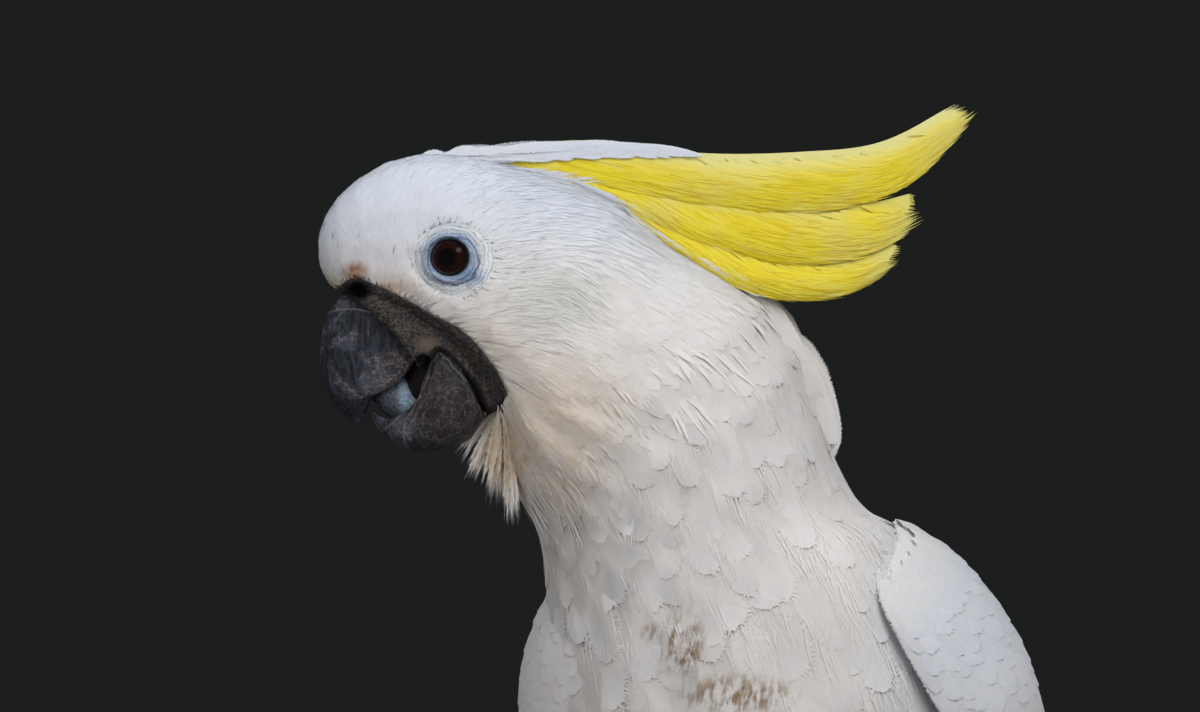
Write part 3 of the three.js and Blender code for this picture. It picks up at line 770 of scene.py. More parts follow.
# ---------------------------------------------------------------- materials
class Nodes:
    """A short way to wire shader nodes."""

    def __init__(self, tree):
        self.tree = tree

    def new(self, kind, **values):
        node = self.tree.nodes.new(kind)
        for name, value in values.items():
            setattr(node, name, value)
        return node

    def put(self, socket, value):
        if hasattr(value, "links"):
            self.tree.links.new(value, socket)
        elif isinstance(value, (tuple, list)) and len(socket.default_value) == 4 and len(value) == 3:
            socket.default_value = (*value, 1)
        else:
            socket.default_value = value

    def math(self, operation, *values):
        node = self.new("ShaderNodeMath", operation=operation)
        for socket, value in zip(node.inputs, values):
            self.put(socket, value)
        return node.outputs[0]

    def plus(self, *values):
        return self.math("ADD", *values)

    def minus(self, *values):
        return self.math("SUBTRACT", *values)

    def times(self, *values):
        return self.math("MULTIPLY", *values)

    def far_from(self, value, middle):
        return self.math("ABSOLUTE", self.minus(value, middle))

    def radius(self, x, z):
        return self.math("SQRT", self.plus(self.times(x, x), self.times(z, z)))

    def vector(self, operation, *values, out=0):
        node = self.new("ShaderNodeVectorMath", operation=operation)
        for socket, value in zip(node.inputs, values):
            self.put(socket, value)
        return node.outputs[out]

    def mix(self, share, a, b, blend="MIX"):
        node = self.new("ShaderNodeMix", data_type="RGBA", blend_type=blend)
        self.put(node.inputs[0], share)
        self.put(node.inputs[6], a)
        self.put(node.inputs[7], b)
        return node.outputs[2]

    def fade(self, value, low, high, start=0.0, end=1.0):
        node = self.new("ShaderNodeMapRange", interpolation_type="SMOOTHSTEP")
        for socket, given in zip(node.inputs, (value, low, high, start, end)):
            self.put(socket, given)
        return node.outputs[0]

    def noise(self, where, scale, detail=3.0, roughness=0.55):
        node = self.new("ShaderNodeTexNoise")
        self.put(node.inputs["Vector"], where)
        self.put(node.inputs["Scale"], scale)
        self.put(node.inputs["Detail"], detail)
        self.put(node.inputs["Roughness"], roughness)
        return node.outputs["Fac"]

    def stretched(self, where, scales, turn=(0, 0, 0)):
        node = self.new("ShaderNodeMapping", vector_type="TEXTURE")
        self.put(node.inputs["Vector"], where)
        node.inputs["Rotation"].default_value = [math.radians(a) for a in turn]
        node.inputs["Scale"].default_value = scales
        return node.outputs[0]

    def where(self):
        """Places on the bird, in metres of the frame."""
        return self.new("ShaderNodeTexCoord").outputs["Object"]

    def spot(self, where, middle, radii, soft=0.35):
        """1 inside an oval patch of the body, fading to 0 at its radii."""
        offset = self.vector("SUBTRACT", where, tuple(middle))
        scaled = self.vector("DIVIDE", offset, tuple(radii))
        away = self.vector("LENGTH", scaled, out=1)
        return self.fade(away, 1.0, 1 - soft)

    def bump(self, height, distance, strength=1.0):
        node = self.new("ShaderNodeBump")
        self.put(node.inputs["Height"], height)
        node.inputs["Distance"].default_value = distance
        node.inputs["Strength"].default_value = strength
        return node.outputs[0]


def material(name):
    made = bpy.data.materials.new(name)
    made.use_nodes = True
    nodes = Nodes(made.node_tree)
    surface = made.node_tree.nodes["Principled BSDF"]
    return made, nodes, surface


def set_inputs(surface, nodes, **values):
    for name, value in values.items():
        nodes.put(surface.inputs[name.replace("_", " ")], value)


# SKYLIT_WHITE is white with painted cool skylight in it.
SKYLIT_WHITE = (0.77, 0.815, 0.90)
WHITE_WARM = (0.88, 0.865, 0.86)
CREAM = (0.84, 0.72, 0.58)
TAN = (0.60, 0.44, 0.25)
SAGE = (0.60, 0.65, 0.60)
OLIVE = (0.66, 0.56, 0.22)
RUST = (0.42, 0.17, 0.05)
STAIN = (0.33, 0.20, 0.09)
UNDER_SHADE = (0.99, 0.975, 0.95)  # painted shade: a feather's covered part is painted darker and warmer than its tip, for the shade of the feathers over it


def plumage_group():
    """The bird's colours by place, with painted cool skylight on the upper head and the wings: the same for
    the skin and for every white feather over it.
    """
    tree = bpy.data.node_groups.new("plumage", "ShaderNodeTree")
    tree.interface.new_socket("Colour", in_out="OUTPUT", socket_type="NodeSocketColor")
    nodes = Nodes(tree)
    end = nodes.new("NodeGroupOutput")
    where = nodes.where()
    height = nodes.new("ShaderNodeSeparateXYZ")
    nodes.put(height.inputs[0], where)
    z = height.outputs[2]
    # Painted light: the white is painted cooler up the head, for the cool skylight that falls on the upper
    # head.
    skylit_top = nodes.fade(z, 0.285, 0.32)
    colour = nodes.mix(skylit_top, WHITE_WARM, SKYLIT_WHITE)
    patches = [
        (head_place(-72, 0, 250), (0.030, 0.5, 0.030), CREAM, 0.75),
        (head_place(-92, 0, 275), (0.022, 0.5, 0.014), CREAM, 0.45),
        (head_place(-60, 0, 262), (0.030, 0.5, 0.022), CREAM, 0.30),
        (head_place(-118, 0, 292), (0.016, 0.5, 0.009), CREAM, 0.55),
        (head_place(-84, 0, 246), (0.012, 0.5, 0.016), TAN, 0.65),
        (head_place(-66, 0, 222), (0.014, 0.5, 0.030), TAN, 0.22),
        (head_place(-68, 0, 290), (0.018, 0.5, 0.012), SAGE, 0.6),
        # Painted light: cool skylight on the wings.
        (place(48, 0, 196), (0.040, 0.5, 0.050), SKYLIT_WHITE, 0.9),
        (head_place(-126.8, 0, 297.6), (0.0055, 0.5, 0.0042), RUST, 0.95),
        (head_place(-118, 0, 293.0), (0.008, 0.5, 0.0024), RUST, 0.4),
        (head_place(-133, 0, 293), (0.005, 0.5, 0.006), OLIVE, 0.55),
    ]
    for middle, radii, tint, strength in patches:
        spot = nodes.spot(where, middle, radii, 0.8)
        grain = nodes.fade(nodes.noise(where, 380.0), 0.35, 0.65, 0.55, 1.0)
        share = nodes.times(nodes.times(spot, strength), grain)
        colour = nodes.mix(share, colour, tint)
    stains = [
        (place(-33.8, -80, 192.3), (0.0085, 0.07, 0.013), 0.95),
        (place(-19.0, -80, 178.0), (0.022, 0.07, 0.008), 0.9),
        (place(-42.5, -80, 195.5), (0.005, 0.07, 0.004), 0.6),
    ]
    strokes = nodes.noise(nodes.stretched(where, (1.0, 1.0, 5.0), (0, 12, 0)), 900.0, 3.0)
    for middle, radii, strength in stains:
        spot = nodes.spot(where, middle, radii, 0.7)
        cloud = nodes.times(nodes.noise(where, 210.0, 3.0), 0.6)
        blot = nodes.fade(nodes.plus(cloud, nodes.times(strokes, 0.6)), 0.52, 0.72)
        share = nodes.times(nodes.times(spot, strength), blot)
        colour = nodes.mix(share, colour, STAIN)
    nodes.put(end.inputs[0], colour)
    return tree


PLUMAGE = plumage_group()


def soft_surface(nodes, surface, made, colour, normal, glow):
    """Light that falls on a feather also shines through it, by the share glow."""
    set_inputs(surface, nodes, Base_Color=colour, Normal=normal, Roughness=0.7, Sheen_Weight=0.15)
    surface.inputs["Specular IOR Level"].default_value = 0.25
    surface.inputs["Sheen Roughness"].default_value = 0.5
    through = nodes.new("ShaderNodeBsdfTranslucent")
    nodes.put(through.inputs["Color"], colour)
    nodes.put(through.inputs["Normal"], normal)
    mixed = nodes.new("ShaderNodeMixShader")
    mixed.inputs[0].default_value = glow
    nodes.put(mixed.inputs[1], surface.outputs[0])
    nodes.put(mixed.inputs[2], through.outputs[0])
    nodes.put(made.node_tree.nodes["Material Output"].inputs["Surface"], mixed.outputs[0])


def feather_material(name, streak=0.35, yellow=None, glow=0.3, depth=0.00006):
    """Feathers with fine lines along their barbs, and painted shade on a white one's covered part. A yellow
    one has three colours in place of markings, partly painted light and shade.
    """
    made, nodes, surface = material(name)
    facts = nodes.new("ShaderNodeAttribute", attribute_name="vane").outputs["Vector"]
    parts = nodes.new("ShaderNodeSeparateXYZ")
    nodes.put(parts.inputs[0], facts)
    barb, along, tone = parts.outputs
    line_at = nodes.new("ShaderNodeCombineXYZ")
    nodes.put(line_at.inputs[0], nodes.times(barb, 1.7))
    nodes.put(line_at.inputs[1], nodes.times(along, 1.5))
    lines = nodes.noise(line_at.outputs[0], 1.0, 2.0)
    where = nodes.where()
    if yellow:
        pale, rich, deep = yellow
        across, along_lobe = along, tone
        # A lobe is painted pale at its top and richer gold below: partly the feathers' own colour, partly
        # painted light and shade.
        colour = nodes.mix(nodes.fade(across, 0.0, 0.55), pale, rich)
        cloud = nodes.fade(nodes.noise(where, 60.0, 2.0), 0.45, 0.7, 0.0, 0.4)
        colour = nodes.mix(cloud, colour, pale)
        streaky = nodes.fade(across, 0.25, 0.65, 0.12, 1.0)
        # Painted shade: deep gold streaks between the barbs of a lobe's lower part.
        gold_shade = nodes.times(streaky, nodes.fade(lines, 0.55, 0.30))
        colour = nodes.mix(nodes.times(gold_shade, 0.85), colour, deep)
        light = nodes.times(streaky, nodes.fade(lines, 0.52, 0.75, 0.0, 0.55))
        colour = nodes.mix(light, colour, pale)
        colour = nodes.mix(nodes.fade(along_lobe, 0.80, 1.0, 0.0, 0.5), colour, (0.80, 0.78, 0.38))
    else:
        marks = nodes.new("ShaderNodeGroup", node_tree=PLUMAGE).outputs[0]
        # Painted shade: towards the root, a white feather's colour is darkened by UNDER_SHADE.
        under = nodes.mix(1.0, marks, UNDER_SHADE, "MULTIPLY")
        colour = nodes.mix(nodes.fade(along, 0.5, 0.85), under, marks)
        shade = nodes.fade(lines, 0.25, 0.6, 1 - streak * 0.3, 1.0)
        tint = nodes.times(shade, nodes.fade(tone, 0, 1, 0.96, 1.0))
        scaled = nodes.new("ShaderNodeVectorMath", operation="SCALE")
        nodes.put(scaled.inputs[0], colour)
        nodes.put(scaled.inputs["Scale"], tint)
        colour = scaled.outputs[0]
    normal = nodes.bump(lines, depth, 0.5)
    soft_surface(nodes, surface, made, colour, normal, glow)
    return made


def skin_material():
    made, nodes, surface = material("feathered skin")
    marks = nodes.new("ShaderNodeGroup", node_tree=PLUMAGE).outputs[0]
    where = nodes.where()
    fine = nodes.noise(where, 900.0, 4.0)
    # Painted shade: the skin is dimmed to about three quarters of the plumage colours, to match the coat over
    # it, which lets light through and has shade between its feathers.
    shade = nodes.fade(fine, 0.3, 0.7, 0.72, 0.80)
    colour = nodes.new("ShaderNodeVectorMath", operation="SCALE")
    nodes.put(colour.inputs[0], marks)
    nodes.put(colour.inputs["Scale"], shade)
    set_inputs(surface, nodes, Base_Color=colour.outputs[0], Roughness=0.85, Normal=nodes.bump(fine, 0.0004))
    return made


def arc_distance(nodes, where):
    """How far below the pale edge of the dark skin a point of the horn lies, as part of a circle."""
    offset = nodes.vector("SUBTRACT", where, tuple(head_place(-128.5, 0, 268.5)))
    flat = nodes.vector("MULTIPLY", offset, (1.0, 0.0, 1.0))
    return nodes.minus(0.0190, nodes.vector("LENGTH", flat, out=1))


def bill_material():
    """Slate horn: fine streaks, pale scratches, a chalky bloom, and brown flakes by the cutting edges."""
    made, nodes, surface = material("bill horn")
    where = nodes.where()
    grown = nodes.stretched(where, (1.0, 0.6, 5.0))
    streaks = nodes.noise(grown, 900.0, 5.0, 0.65)
    cloud = nodes.noise(where, 130.0, 3.0)
    colour = nodes.mix(nodes.fade(streaks, 0.35, 0.7), (0.012, 0.013, 0.017), (0.042, 0.046, 0.062))
    colour = nodes.mix(nodes.fade(cloud, 0.45, 0.7, 0, 0.75), colour, (0.070, 0.078, 0.105))
    edge = nodes.spot(where, head_place(-113, 0, 268), (0.013, 0.5, 0.010), 0.8)
    lower = nodes.spot(where, head_place(-99, 0, 259), (0.020, 0.5, 0.018), 0.6)
    peeled = nodes.math("MAXIMUM", edge, nodes.fade(cloud, 0.50, 0.62, 0.0, 0.55))
    peeled = nodes.math("MAXIMUM", peeled, nodes.times(lower, 0.55))
    rim = nodes.far_from(arc_distance(nodes, where), 0.0004)
    for scale, level, strength in ((190.0, 0.5, 0.85), (330.0, 0.56, 0.6), (120.0, 0.44, 0.7)):
        contour = nodes.noise(where, scale, 5.0, 0.6)
        away = nodes.far_from(contour, level)
        line = nodes.fade(away, 0.016, 0.003, 0.0, strength)
        colour = nodes.mix(nodes.times(line, peeled), colour, (0.32, 0.28, 0.26))
    wavy_rim = nodes.plus(rim, nodes.times(cloud, 0.0003))
    edge_line = nodes.fade(wavy_rim, 0.0006, 0.0002, 0.0, 0.35)
    colour = nodes.mix(edge_line, colour, (0.22, 0.20, 0.19))
    slanted = nodes.stretched(where, (3.0, 1.0, 1.0), (0, 45, 0))
    flakes = nodes.fade(nodes.noise(slanted, 900.0, 4.0), 0.42, 0.6)
    colour = nodes.mix(nodes.times(nodes.times(edge, flakes), 0.6), colour, (0.10, 0.058, 0.040))
    colour = nodes.mix(nodes.times(lower, 0.55), colour, (0.030, 0.021, 0.019))
    inward = nodes.new("ShaderNodeAttribute", attribute_name="edge").outputs["Fac"]
    for deep, strength in ((0.5, 0.35), (2.1, 0.12)):
        at = nodes.minus(inward, nodes.times(nodes.noise(where, 420.0, 4.0), 2.6))
        off = nodes.far_from(at, deep - 1.0)
        on_lower = nodes.times(nodes.fade(off, 0.30, 0.08, 0.0, strength), nodes.fade(inward, 0.02, 0.1))
        colour = nodes.mix(on_lower, colour, (0.27, 0.25, 0.26))
    height = nodes.plus(streaks, nodes.times(cloud, 0.6))
    set_inputs(surface, nodes, Base_Color=colour, Roughness=nodes.fade(streaks, 0.3, 0.7, 0.34, 0.6))
    nodes.put(surface.inputs["Normal"], nodes.bump(height, 0.00022))
    surface.inputs["Specular IOR Level"].default_value = 0.5
    return made


def bill_skin_material():
    """Charcoal skin with fine tan folds that run round the bill, and nostrils painted near-black as painted
    shade.
    """
    made, nodes, surface = material("bill skin")
    where = nodes.where()
    warp = nodes.noise(where, 220.0, 2.0)
    corner = nodes.vector("SUBTRACT", where, tuple(head_place(-112, 0, 268)))
    flat = nodes.vector("MULTIPLY", corner, (1.0, 0.25, 1.0))
    away = nodes.vector("LENGTH", flat, out=1)
    parts = nodes.new("ShaderNodeSeparateXYZ")
    nodes.put(parts.inputs[0], corner)
    polar = nodes.new("ShaderNodeCombineXYZ")
    angle = nodes.math("ARCTAN2", parts.outputs[2], parts.outputs[0])
    nodes.put(polar.inputs[0], nodes.plus(nodes.times(angle, 5.0), nodes.times(warp, 3.0)))
    nodes.put(polar.inputs[1], nodes.times(away, 1500.0))
    folds = nodes.noise(polar.outputs[0], 1.0, 4.0, 0.7)
    grain = nodes.noise(where, 1300.0, 4.0, 0.65)
    height = nodes.plus(nodes.times(folds, 0.3), grain)
    colour = nodes.mix(nodes.fade(grain, 0.35, 0.7), (0.020, 0.018, 0.019), (0.090, 0.082, 0.076))
    tan = nodes.times(nodes.fade(folds, 0.52, 0.66), nodes.fade(nodes.noise(where, 300.0), 0.40, 0.60))
    colour = nodes.mix(nodes.times(tan, 0.55), colour, (0.20, 0.155, 0.115))
    flesh = nodes.spot(where, head_place(-106.0, 0, 277.0), (0.0050, 0.5, 0.0034), 0.8)
    colour = nodes.mix(nodes.times(flesh, 0.55), colour, (0.17, 0.12, 0.085))
    # Painted shade: the inside of each nostril is painted near-black, for the shade in its pit.
    nostril_shade = nodes.spot(where, head_place(-126.0, 0, 292.3), (0.0062, 0.5, 0.0044), 0.75)
    colour = nodes.mix(nostril_shade, colour, (0.002, 0.002, 0.002))
    set_inputs(surface, nodes, Base_Color=colour, Roughness=0.7, Normal=nodes.bump(height, 0.0005))
    return made


def foot_material():
    made, nodes, surface = material("foot scales")
    where = nodes.where()
    scales = nodes.new("ShaderNodeTexVoronoi", feature="DISTANCE_TO_EDGE")
    nodes.put(scales.inputs["Vector"], where)
    scales.inputs["Scale"].default_value = 520.0
    edge = nodes.fade(scales.outputs["Distance"], 0.02, 0.22)
    cloud = nodes.noise(where, 240.0)
    colour = nodes.mix(edge, (0.16, 0.15, 0.14), nodes.mix(cloud, (0.035, 0.037, 0.045), (0.10, 0.10, 0.115)))
    set_inputs(surface, nodes, Base_Color=colour, Roughness=0.6, Normal=nodes.bump(edge, 0.0005))
    return made


def plain_material(name, colour, roughness):
    made, nodes, surface = material(name)
    set_inputs(surface, nodes, Base_Color=colour, Roughness=roughness)
    return made


def tongue_material():
    made, nodes, surface = material("tongue")
    where = nodes.where()
    fine = nodes.noise(where, 1100.0, 3.0)
    bright = nodes.spot(where, head_place(-111.5, 0, 262.5), (0.0042, 0.5, 0.0075), 0.6)
    colour = nodes.mix(nodes.fade(fine, 0.3, 0.7), (0.045, 0.050, 0.066), (0.11, 0.125, 0.155))
    blue = nodes.mix(nodes.fade(fine, 0.3, 0.7), (0.14, 0.20, 0.28), (0.30, 0.40, 0.50))
    colour = nodes.mix(bright, colour, blue)
    set_inputs(surface, nodes, Base_Color=colour, Roughness=0.22, Coat_Weight=0.6)
    nodes.put(surface.inputs["Normal"], nodes.bump(fine, 0.0002))
    return made


def eye_material(side):
    """A dark red-brown iris round a wide pupil, under a wet gloss."""
    made, nodes, surface = material(f"eye {side}")
    middle, back, up, _ = eye_frame(side)
    offset = nodes.vector("SUBTRACT", nodes.where(), tuple(middle))
    x = nodes.vector("DOT_PRODUCT", offset, tuple(back), out=1)
    z = nodes.vector("DOT_PRODUCT", offset, tuple(up), out=1)
    radius = nodes.radius(x, z)
    angle = nodes.math("ARCTAN2", z, x)
    polar = nodes.new("ShaderNodeCombineXYZ")
    nodes.put(polar.inputs[0], nodes.times(angle, 9.0))
    nodes.put(polar.inputs[1], nodes.times(radius, 260.0))
    rays = nodes.noise(polar.outputs[0], 1.0, 4.0, 0.7)
    iris = nodes.mix(nodes.fade(rays, 0.35, 0.7), (0.005, 0.002, 0.0015), (0.030, 0.006, 0.003))
    iris = nodes.mix(nodes.fade(radius, 0.0040, 0.0053), iris, (0.008, 0.004, 0.004))
    colour = nodes.mix(nodes.fade(radius, 0.0021, 0.0034), (0.001, 0.001, 0.001), iris)
    set_inputs(surface, nodes, Base_Color=colour, Roughness=0.12, Coat_Weight=1.0)
    surface.inputs["Coat Roughness"].default_value = 0.01
    return made


def ring_material(side):
    """Pale blue wrinkled skin, darkest at the lids and fading to white feathers at its edge, with painted
    shade in its creases.
    """
    made, nodes, surface = material(f"eye ring {side}")
    middle, back, up, _ = eye_frame(side)
    where = nodes.where()
    offset = nodes.vector("SUBTRACT", where, tuple(middle))
    x = nodes.minus(nodes.vector("DOT_PRODUCT", offset, tuple(back), out=1), 0.0006)
    z = nodes.times(nodes.vector("DOT_PRODUCT", offset, tuple(up), out=1), 1.08)
    radius = nodes.radius(x, z)
    patchy = nodes.noise(where, 320.0, 4.0)
    fine = nodes.noise(where, 1500.0, 3.0)
    uneven = nodes.plus(radius, nodes.times(nodes.minus(patchy, 0.5), 0.003))
    blue = nodes.mix(nodes.fade(fine, 0.3, 0.7), (0.20, 0.28, 0.42), (0.36, 0.42, 0.52))
    pale = nodes.mix(nodes.fade(fine, 0.3, 0.7), (0.46, 0.51, 0.55), (0.60, 0.63, 0.66))
    colour = nodes.mix(nodes.fade(uneven, 0.0068, 0.0092), blue, pale)
    colour = nodes.mix(nodes.fade(uneven, 0.0088, 0.0112, 0, 0.85), colour, (0.74, 0.75, 0.77))
    # Painted shade: rings of dark blue lines, for the shade in the skin's creases.
    waves = nodes.math("SINE", nodes.times(uneven, 5200.0))
    crease_shade = nodes.fade(waves, 0.62, 1.0)
    crease_shade = nodes.times(crease_shade, nodes.fade(nodes.noise(where, 240.0, 3.0), 0.42, 0.6, 0.15, 0.75))
    colour = nodes.mix(crease_shade, colour, (0.20, 0.27, 0.36))
    low = nodes.spot(where, middle + (back * 5.5 - up * 5.5) * MM, (0.0065, 0.02, 0.004), 0.7)
    colour = nodes.mix(nodes.times(low, 0.55), colour, (0.12, 0.22, 0.46))
    # Painted shade: a dark line for the fold at the blue ring's border.
    leaned = nodes.minus(uneven, nodes.times(nodes.minus(x, z), 0.13))
    border_shade = nodes.fade(nodes.far_from(leaned, 0.0073), 0.00045, 0.0001, 0.0, 0.75)
    colour = nodes.mix(border_shade, colour, (0.07, 0.10, 0.19))
    lid = nodes.fade(radius, 0.0062, 0.0055)
    colour = nodes.mix(lid, colour, (0.012, 0.014, 0.02))
    set_inputs(surface, nodes, Base_Color=colour, Roughness=0.5)
    relief = nodes.minus(fine, nodes.times(crease_shade, 1.5))
    nodes.put(surface.inputs["Normal"], nodes.bump(relief, 0.00016))
    surface.inputs["Subsurface Weight"].default_value = 0.1
    surface.inputs["Subsurface Radius"].default_value = (0.002, 0.001, 0.001)
    surface.inputs["Subsurface Scale"].default_value = 1.0
    return made


# ---------------------------------------------------------------- bill, tongue and the skin round them
# A bill section runs from a point on the outer ridge to one on the inner side, in the head's plane, with
# its half width, the boxiness of its oval, and how much its outer half narrows.
UPPER_BILL = [
    ((-128.6, 291.9), (-104.8, 276.6), 12.0, 2.5, 0.0),
    ((-132.8, 289.6), (-107.4, 270.8), 12.2, 2.6, 0.04),
    ((-135.8, 283.1), (-111.6, 265.6), 11.6, 2.7, 0.08),
    ((-137.0, 275.4), (-116.2, 262.2), 10.4, 2.7, 0.12),
    ((-136.2, 267.7), (-120.6, 260.2), 8.6, 2.6, 0.15),
    ((-133.8, 261.2), (-123.0, 257.6), 6.2, 2.4, 0.15),
    ((-130.8, 257.2), (-124.4, 256.2), 3.8, 2.2, 0.1),
    ((-127.4, 253.9), (-125.6, 254.7), 1.1, 2.0, 0.0),
]
LOWER_BILL = [
    ((-98.4, 274.0), (-89.8, 256.5), 15.4, 4.5, 0.0),
    ((-103.4, 276.4), (-94.0, 250.4), 15.6, 4.5, 0.0),
    ((-106.0, 271.6), (-100.5, 246.9), 14.6, 3.6, 0.0),
    ((-108.8, 266.5), (-106.0, 246.0), 13.0, 2.9, 0.0),
    ((-112.2, 261.4), (-112.0, 246.8), 11.2, 2.7, 0.0),
    ((-116.4, 258.4), (-117.0, 249.6), 9.2, 2.6, 0.0),
    ((-120.2, 258.4), (-120.9, 253.2), 7.0, 2.5, 0.0),
    ((-122.2, 258.9), (-122.5, 256.9), 4.8, 2.2, 0.0),
]
BILL_BASE = [
    ((-130.6, 292.8), (-112.0, 277.0), 13.0, 2.4, 0.0),
    ((-124.0, 295.6), (-108.0, 268.0), 16.0, 2.4, 0.0),
    ((-114.4, 292.0), (-106.0, 262.0), 16.6, 2.4, 0.0),
    ((-104.6, 286.8), (-100.0, 258.0), 16.8, 2.4, 0.0),
    ((-95.4, 280.6), (-94.0, 257.0), 16.4, 2.4, 0.0),
    ((-88.0, 272.4), (-90.4, 256.6), 16.2, 2.4, 0.0),
    ((-83.6, 263.6), (-87.0, 257.6), 15.0, 2.3, 0.0),
]
# The open mouth seen from the side, along the upper cutting edge and back along the lower one.
MOUTH_EDGE = [
    (-106.6, 274.2), (-108.8, 273.9), (-110.2, 271.8), (-112.3, 268.8), (-114.3, 266.3), (-116.6, 264.5),
    (-120.0, 263.1), (-122.3, 261.7), (-123.7, 258.3), (-125.6, 254.2), (-123.4, 253.4), (-122.7, 255.6),
    (-122.0, 258.2), (-120.0, 256.5), (-116.3, 256.0), (-111.4, 258.8), (-108.6, 262.5), (-107.7, 266.3),
    (-105.9, 270.2), (-105.1, 272.6),
]
HORN_VOXEL = 0.42 * MM
MOUTH_REACH = 20  # how far out from the middle of the head the mouth is cut
TONGUE = {"x": -114.8, "z": 261.9, "size": (9.9, 6.6, 5.9), "turn": 40}


def ring_faces(rings, sides):
    faces = []
    for r in range(rings - 1):
        for i in range(sides):
            j = (i + 1) % sides
            faces.append((r * sides + i, r * sides + j, (r + 1) * sides + j, (r + 1) * sides + i))
    return faces


def bill_loft(name, stations):
    """A closed loft through the sections of a bill."""
    rings, sides = 60, 64
    t = np.linspace(0, 1, rings)
    outer = spline([s[0] for s in stations], t)
    inner = spline([s[1] for s in stations], t)
    wide, power, egg = spline([s[2:] for s in stations], t).T
    angle = np.linspace(0, 2 * math.pi, sides, endpoint=False)
    c, n = np.cos(angle), np.sin(angle)
    points = []
    for i in range(rings):
        across = np.sign(c) * np.abs(c) ** (2 / power[i]) * (1 - egg[i] * n) * wide[i]
        deep = np.sign(n) * np.abs(n) ** (2 / power[i])
        at = (outer[i] + inner[i]) / 2 + deep[:, None] * (outer[i] - inner[i]) / 2
        points += [head_place(x, lateral, z) for (x, z), lateral in zip(at, across)]
    last = len(points)
    points += [np.mean(points[:sides], axis=0), np.mean(points[-sides:], axis=0)]
    faces = ring_faces(rings, sides)
    faces += [((i + 1) % sides, i, last) for i in range(sides)]
    end = (rings - 1) * sides
    faces += [(end + i, end + (i + 1) % sides, last + 1) for i in range(sides)]
    made = mesh_object(name, points, faces)
    made.data.validate()
    return faced_out(made)


def faced_out(thing, weld=False):
    """Turns every face outward. weld first joins the corners that faces share."""
    shape = bmesh.new()
    shape.from_mesh(thing.data)
    if weld:
        bmesh.ops.remove_doubles(shape, verts=shape.verts, dist=0.01 * MM)
    bmesh.ops.recalc_face_normals(shape, faces=shape.faces)
    shape.to_mesh(thing.data)
    shape.free()
    return thing


def extruded(name, outline, near, far):
    """A closed prism with an outline in the head's plane, between two distances from that plane."""
    count = len(outline)
    points = [head_place(x, lateral, z) for lateral in (near, far) for x, z in outline]
    faces = [tuple(range(count)), tuple(range(2 * count - 1, count - 1, -1))]
    faces += [(i, (i + 1) % count, count + (i + 1) % count, count + i) for i in range(count)]
    return faced_out(mesh_object(name, points, faces))


def egg(name, middle, size, turn, segments=48):
    """An ellipsoid, turned in the head's plane."""
    bpy.ops.mesh.primitive_uv_sphere_add(segments=segments, ring_count=segments // 2)
    made = bpy.context.object
    made.name = name
    made.scale = [r * MM for r in size]
    made.rotation_euler = (0, math.radians(turn), 0)
    made.location = middle
    bpy.context.view_layer.update()
    made.data.transform(made.matrix_world)
    made.matrix_world.identity()
    made.data.shade_smooth()
    return made


def smooth_outline(outline):
    loop = np.array([*outline, outline[0]])
    return spline(loop, np.linspace(0, 1, len(outline) * 6, endpoint=False)).tolist()


def mouth_space(name):
    return egg(name, head_place(-113, 0, 262.8), (12.6, 8.4, 6.9), TONGUE["turn"])


def rough(thing, size, amount):
    """Moves the surface by soft noise, with features of about size metres."""
    points, normals = arrays_of(thing.data)
    shift = np.array([noise.fractal(Vector(p) / size, 0.6, 2.0, 3) for p in points]) * amount
    set_points(thing.data, points + normals * shift[:, None])


mouth_outline = smooth_outline(MOUTH_EDGE)

def horn(name, stations, *tools):
    """Half a bill without the mouth, the tools and the space for the tongue."""
    made = bill_loft(name, stations)
    for tool in (extruded("gap", mouth_outline, -MOUTH_REACH, MOUTH_REACH), *tools, mouth_space("space")):
        made = cut_by(made, tool, name)
    made = remeshed(made, HORN_VOXEL, 3, name)
    rough(made, 3.5 * MM, 0.10 * MM)
    return made


upper_bill = horn("upper_bill_horn", UPPER_BILL)
lower_bill = horn("lower_bill_horn", LOWER_BILL, bill_loft("upper", UPPER_BILL))

NOSTRIL = (-126.4, 12.9, 291.9)
NOSTRIL_SIZE = (3.0, 3.6, 2.5)


def opened(thing, name):
    """The skin round the bill without the nostrils and the open mouth."""
    for side in (-1, 1):
        nostril = egg("nostril", head_place(NOSTRIL[0], side * NOSTRIL[1], NOSTRIL[2]), NOSTRIL_SIZE, 20, 24)
        thing = cut_by(thing, nostril, name)
        near, far = sorted((7 * side, 24 * side))
        thing = cut_by(thing, extruded("corner", mouth_outline, near, far), name)
    return cut_by(thing, mouth_space("space"), name)


# The dark skin is the bill's base, and the part of the face below the feather line.
brow = faced_out(joined_nodes("brow", ["head"], 0), weld=True)
brow = cut_by(brow, extruded("bare", BARE_OUTLINE, -30, 30), "brow", "INTERSECT")
brow = opened(brow, "brow")
bill_skin = opened(bill_loft("bill_skin", BILL_BASE), "bill_skin")
bill_skin = merged_objects("bill_skin", bill_skin, brow)
bill_skin = remeshed(bill_skin, 0.45 * MM, 4, "bill_skin")
rough(bill_skin, 2.2 * MM, 0.22 * MM)

# The skin dips to the horn of the lower bill.
lower_horn = smooth_outline(LOWER_HORN)
skin_at, _ = arrays_of(bill_skin.data)
lateral = skin_at[:, 1] - EYE_MIDDLE[1]
dip = smooth_step(depth_in(lower_horn, skin_at), -1.6, 0.8) * 5.5 * MM
skin_at[:, 1] -= np.sign(lateral) * np.minimum(dip, np.abs(lateral))
set_points(bill_skin.data, skin_at)
horn_at, _ = arrays_of(lower_bill.data)
edge_depth = lower_bill.data.attributes.new("edge", "FLOAT", "POINT")
edge_depth.data.foreach_set("value", depth_in(lower_horn, horn_at).astype(np.float32))

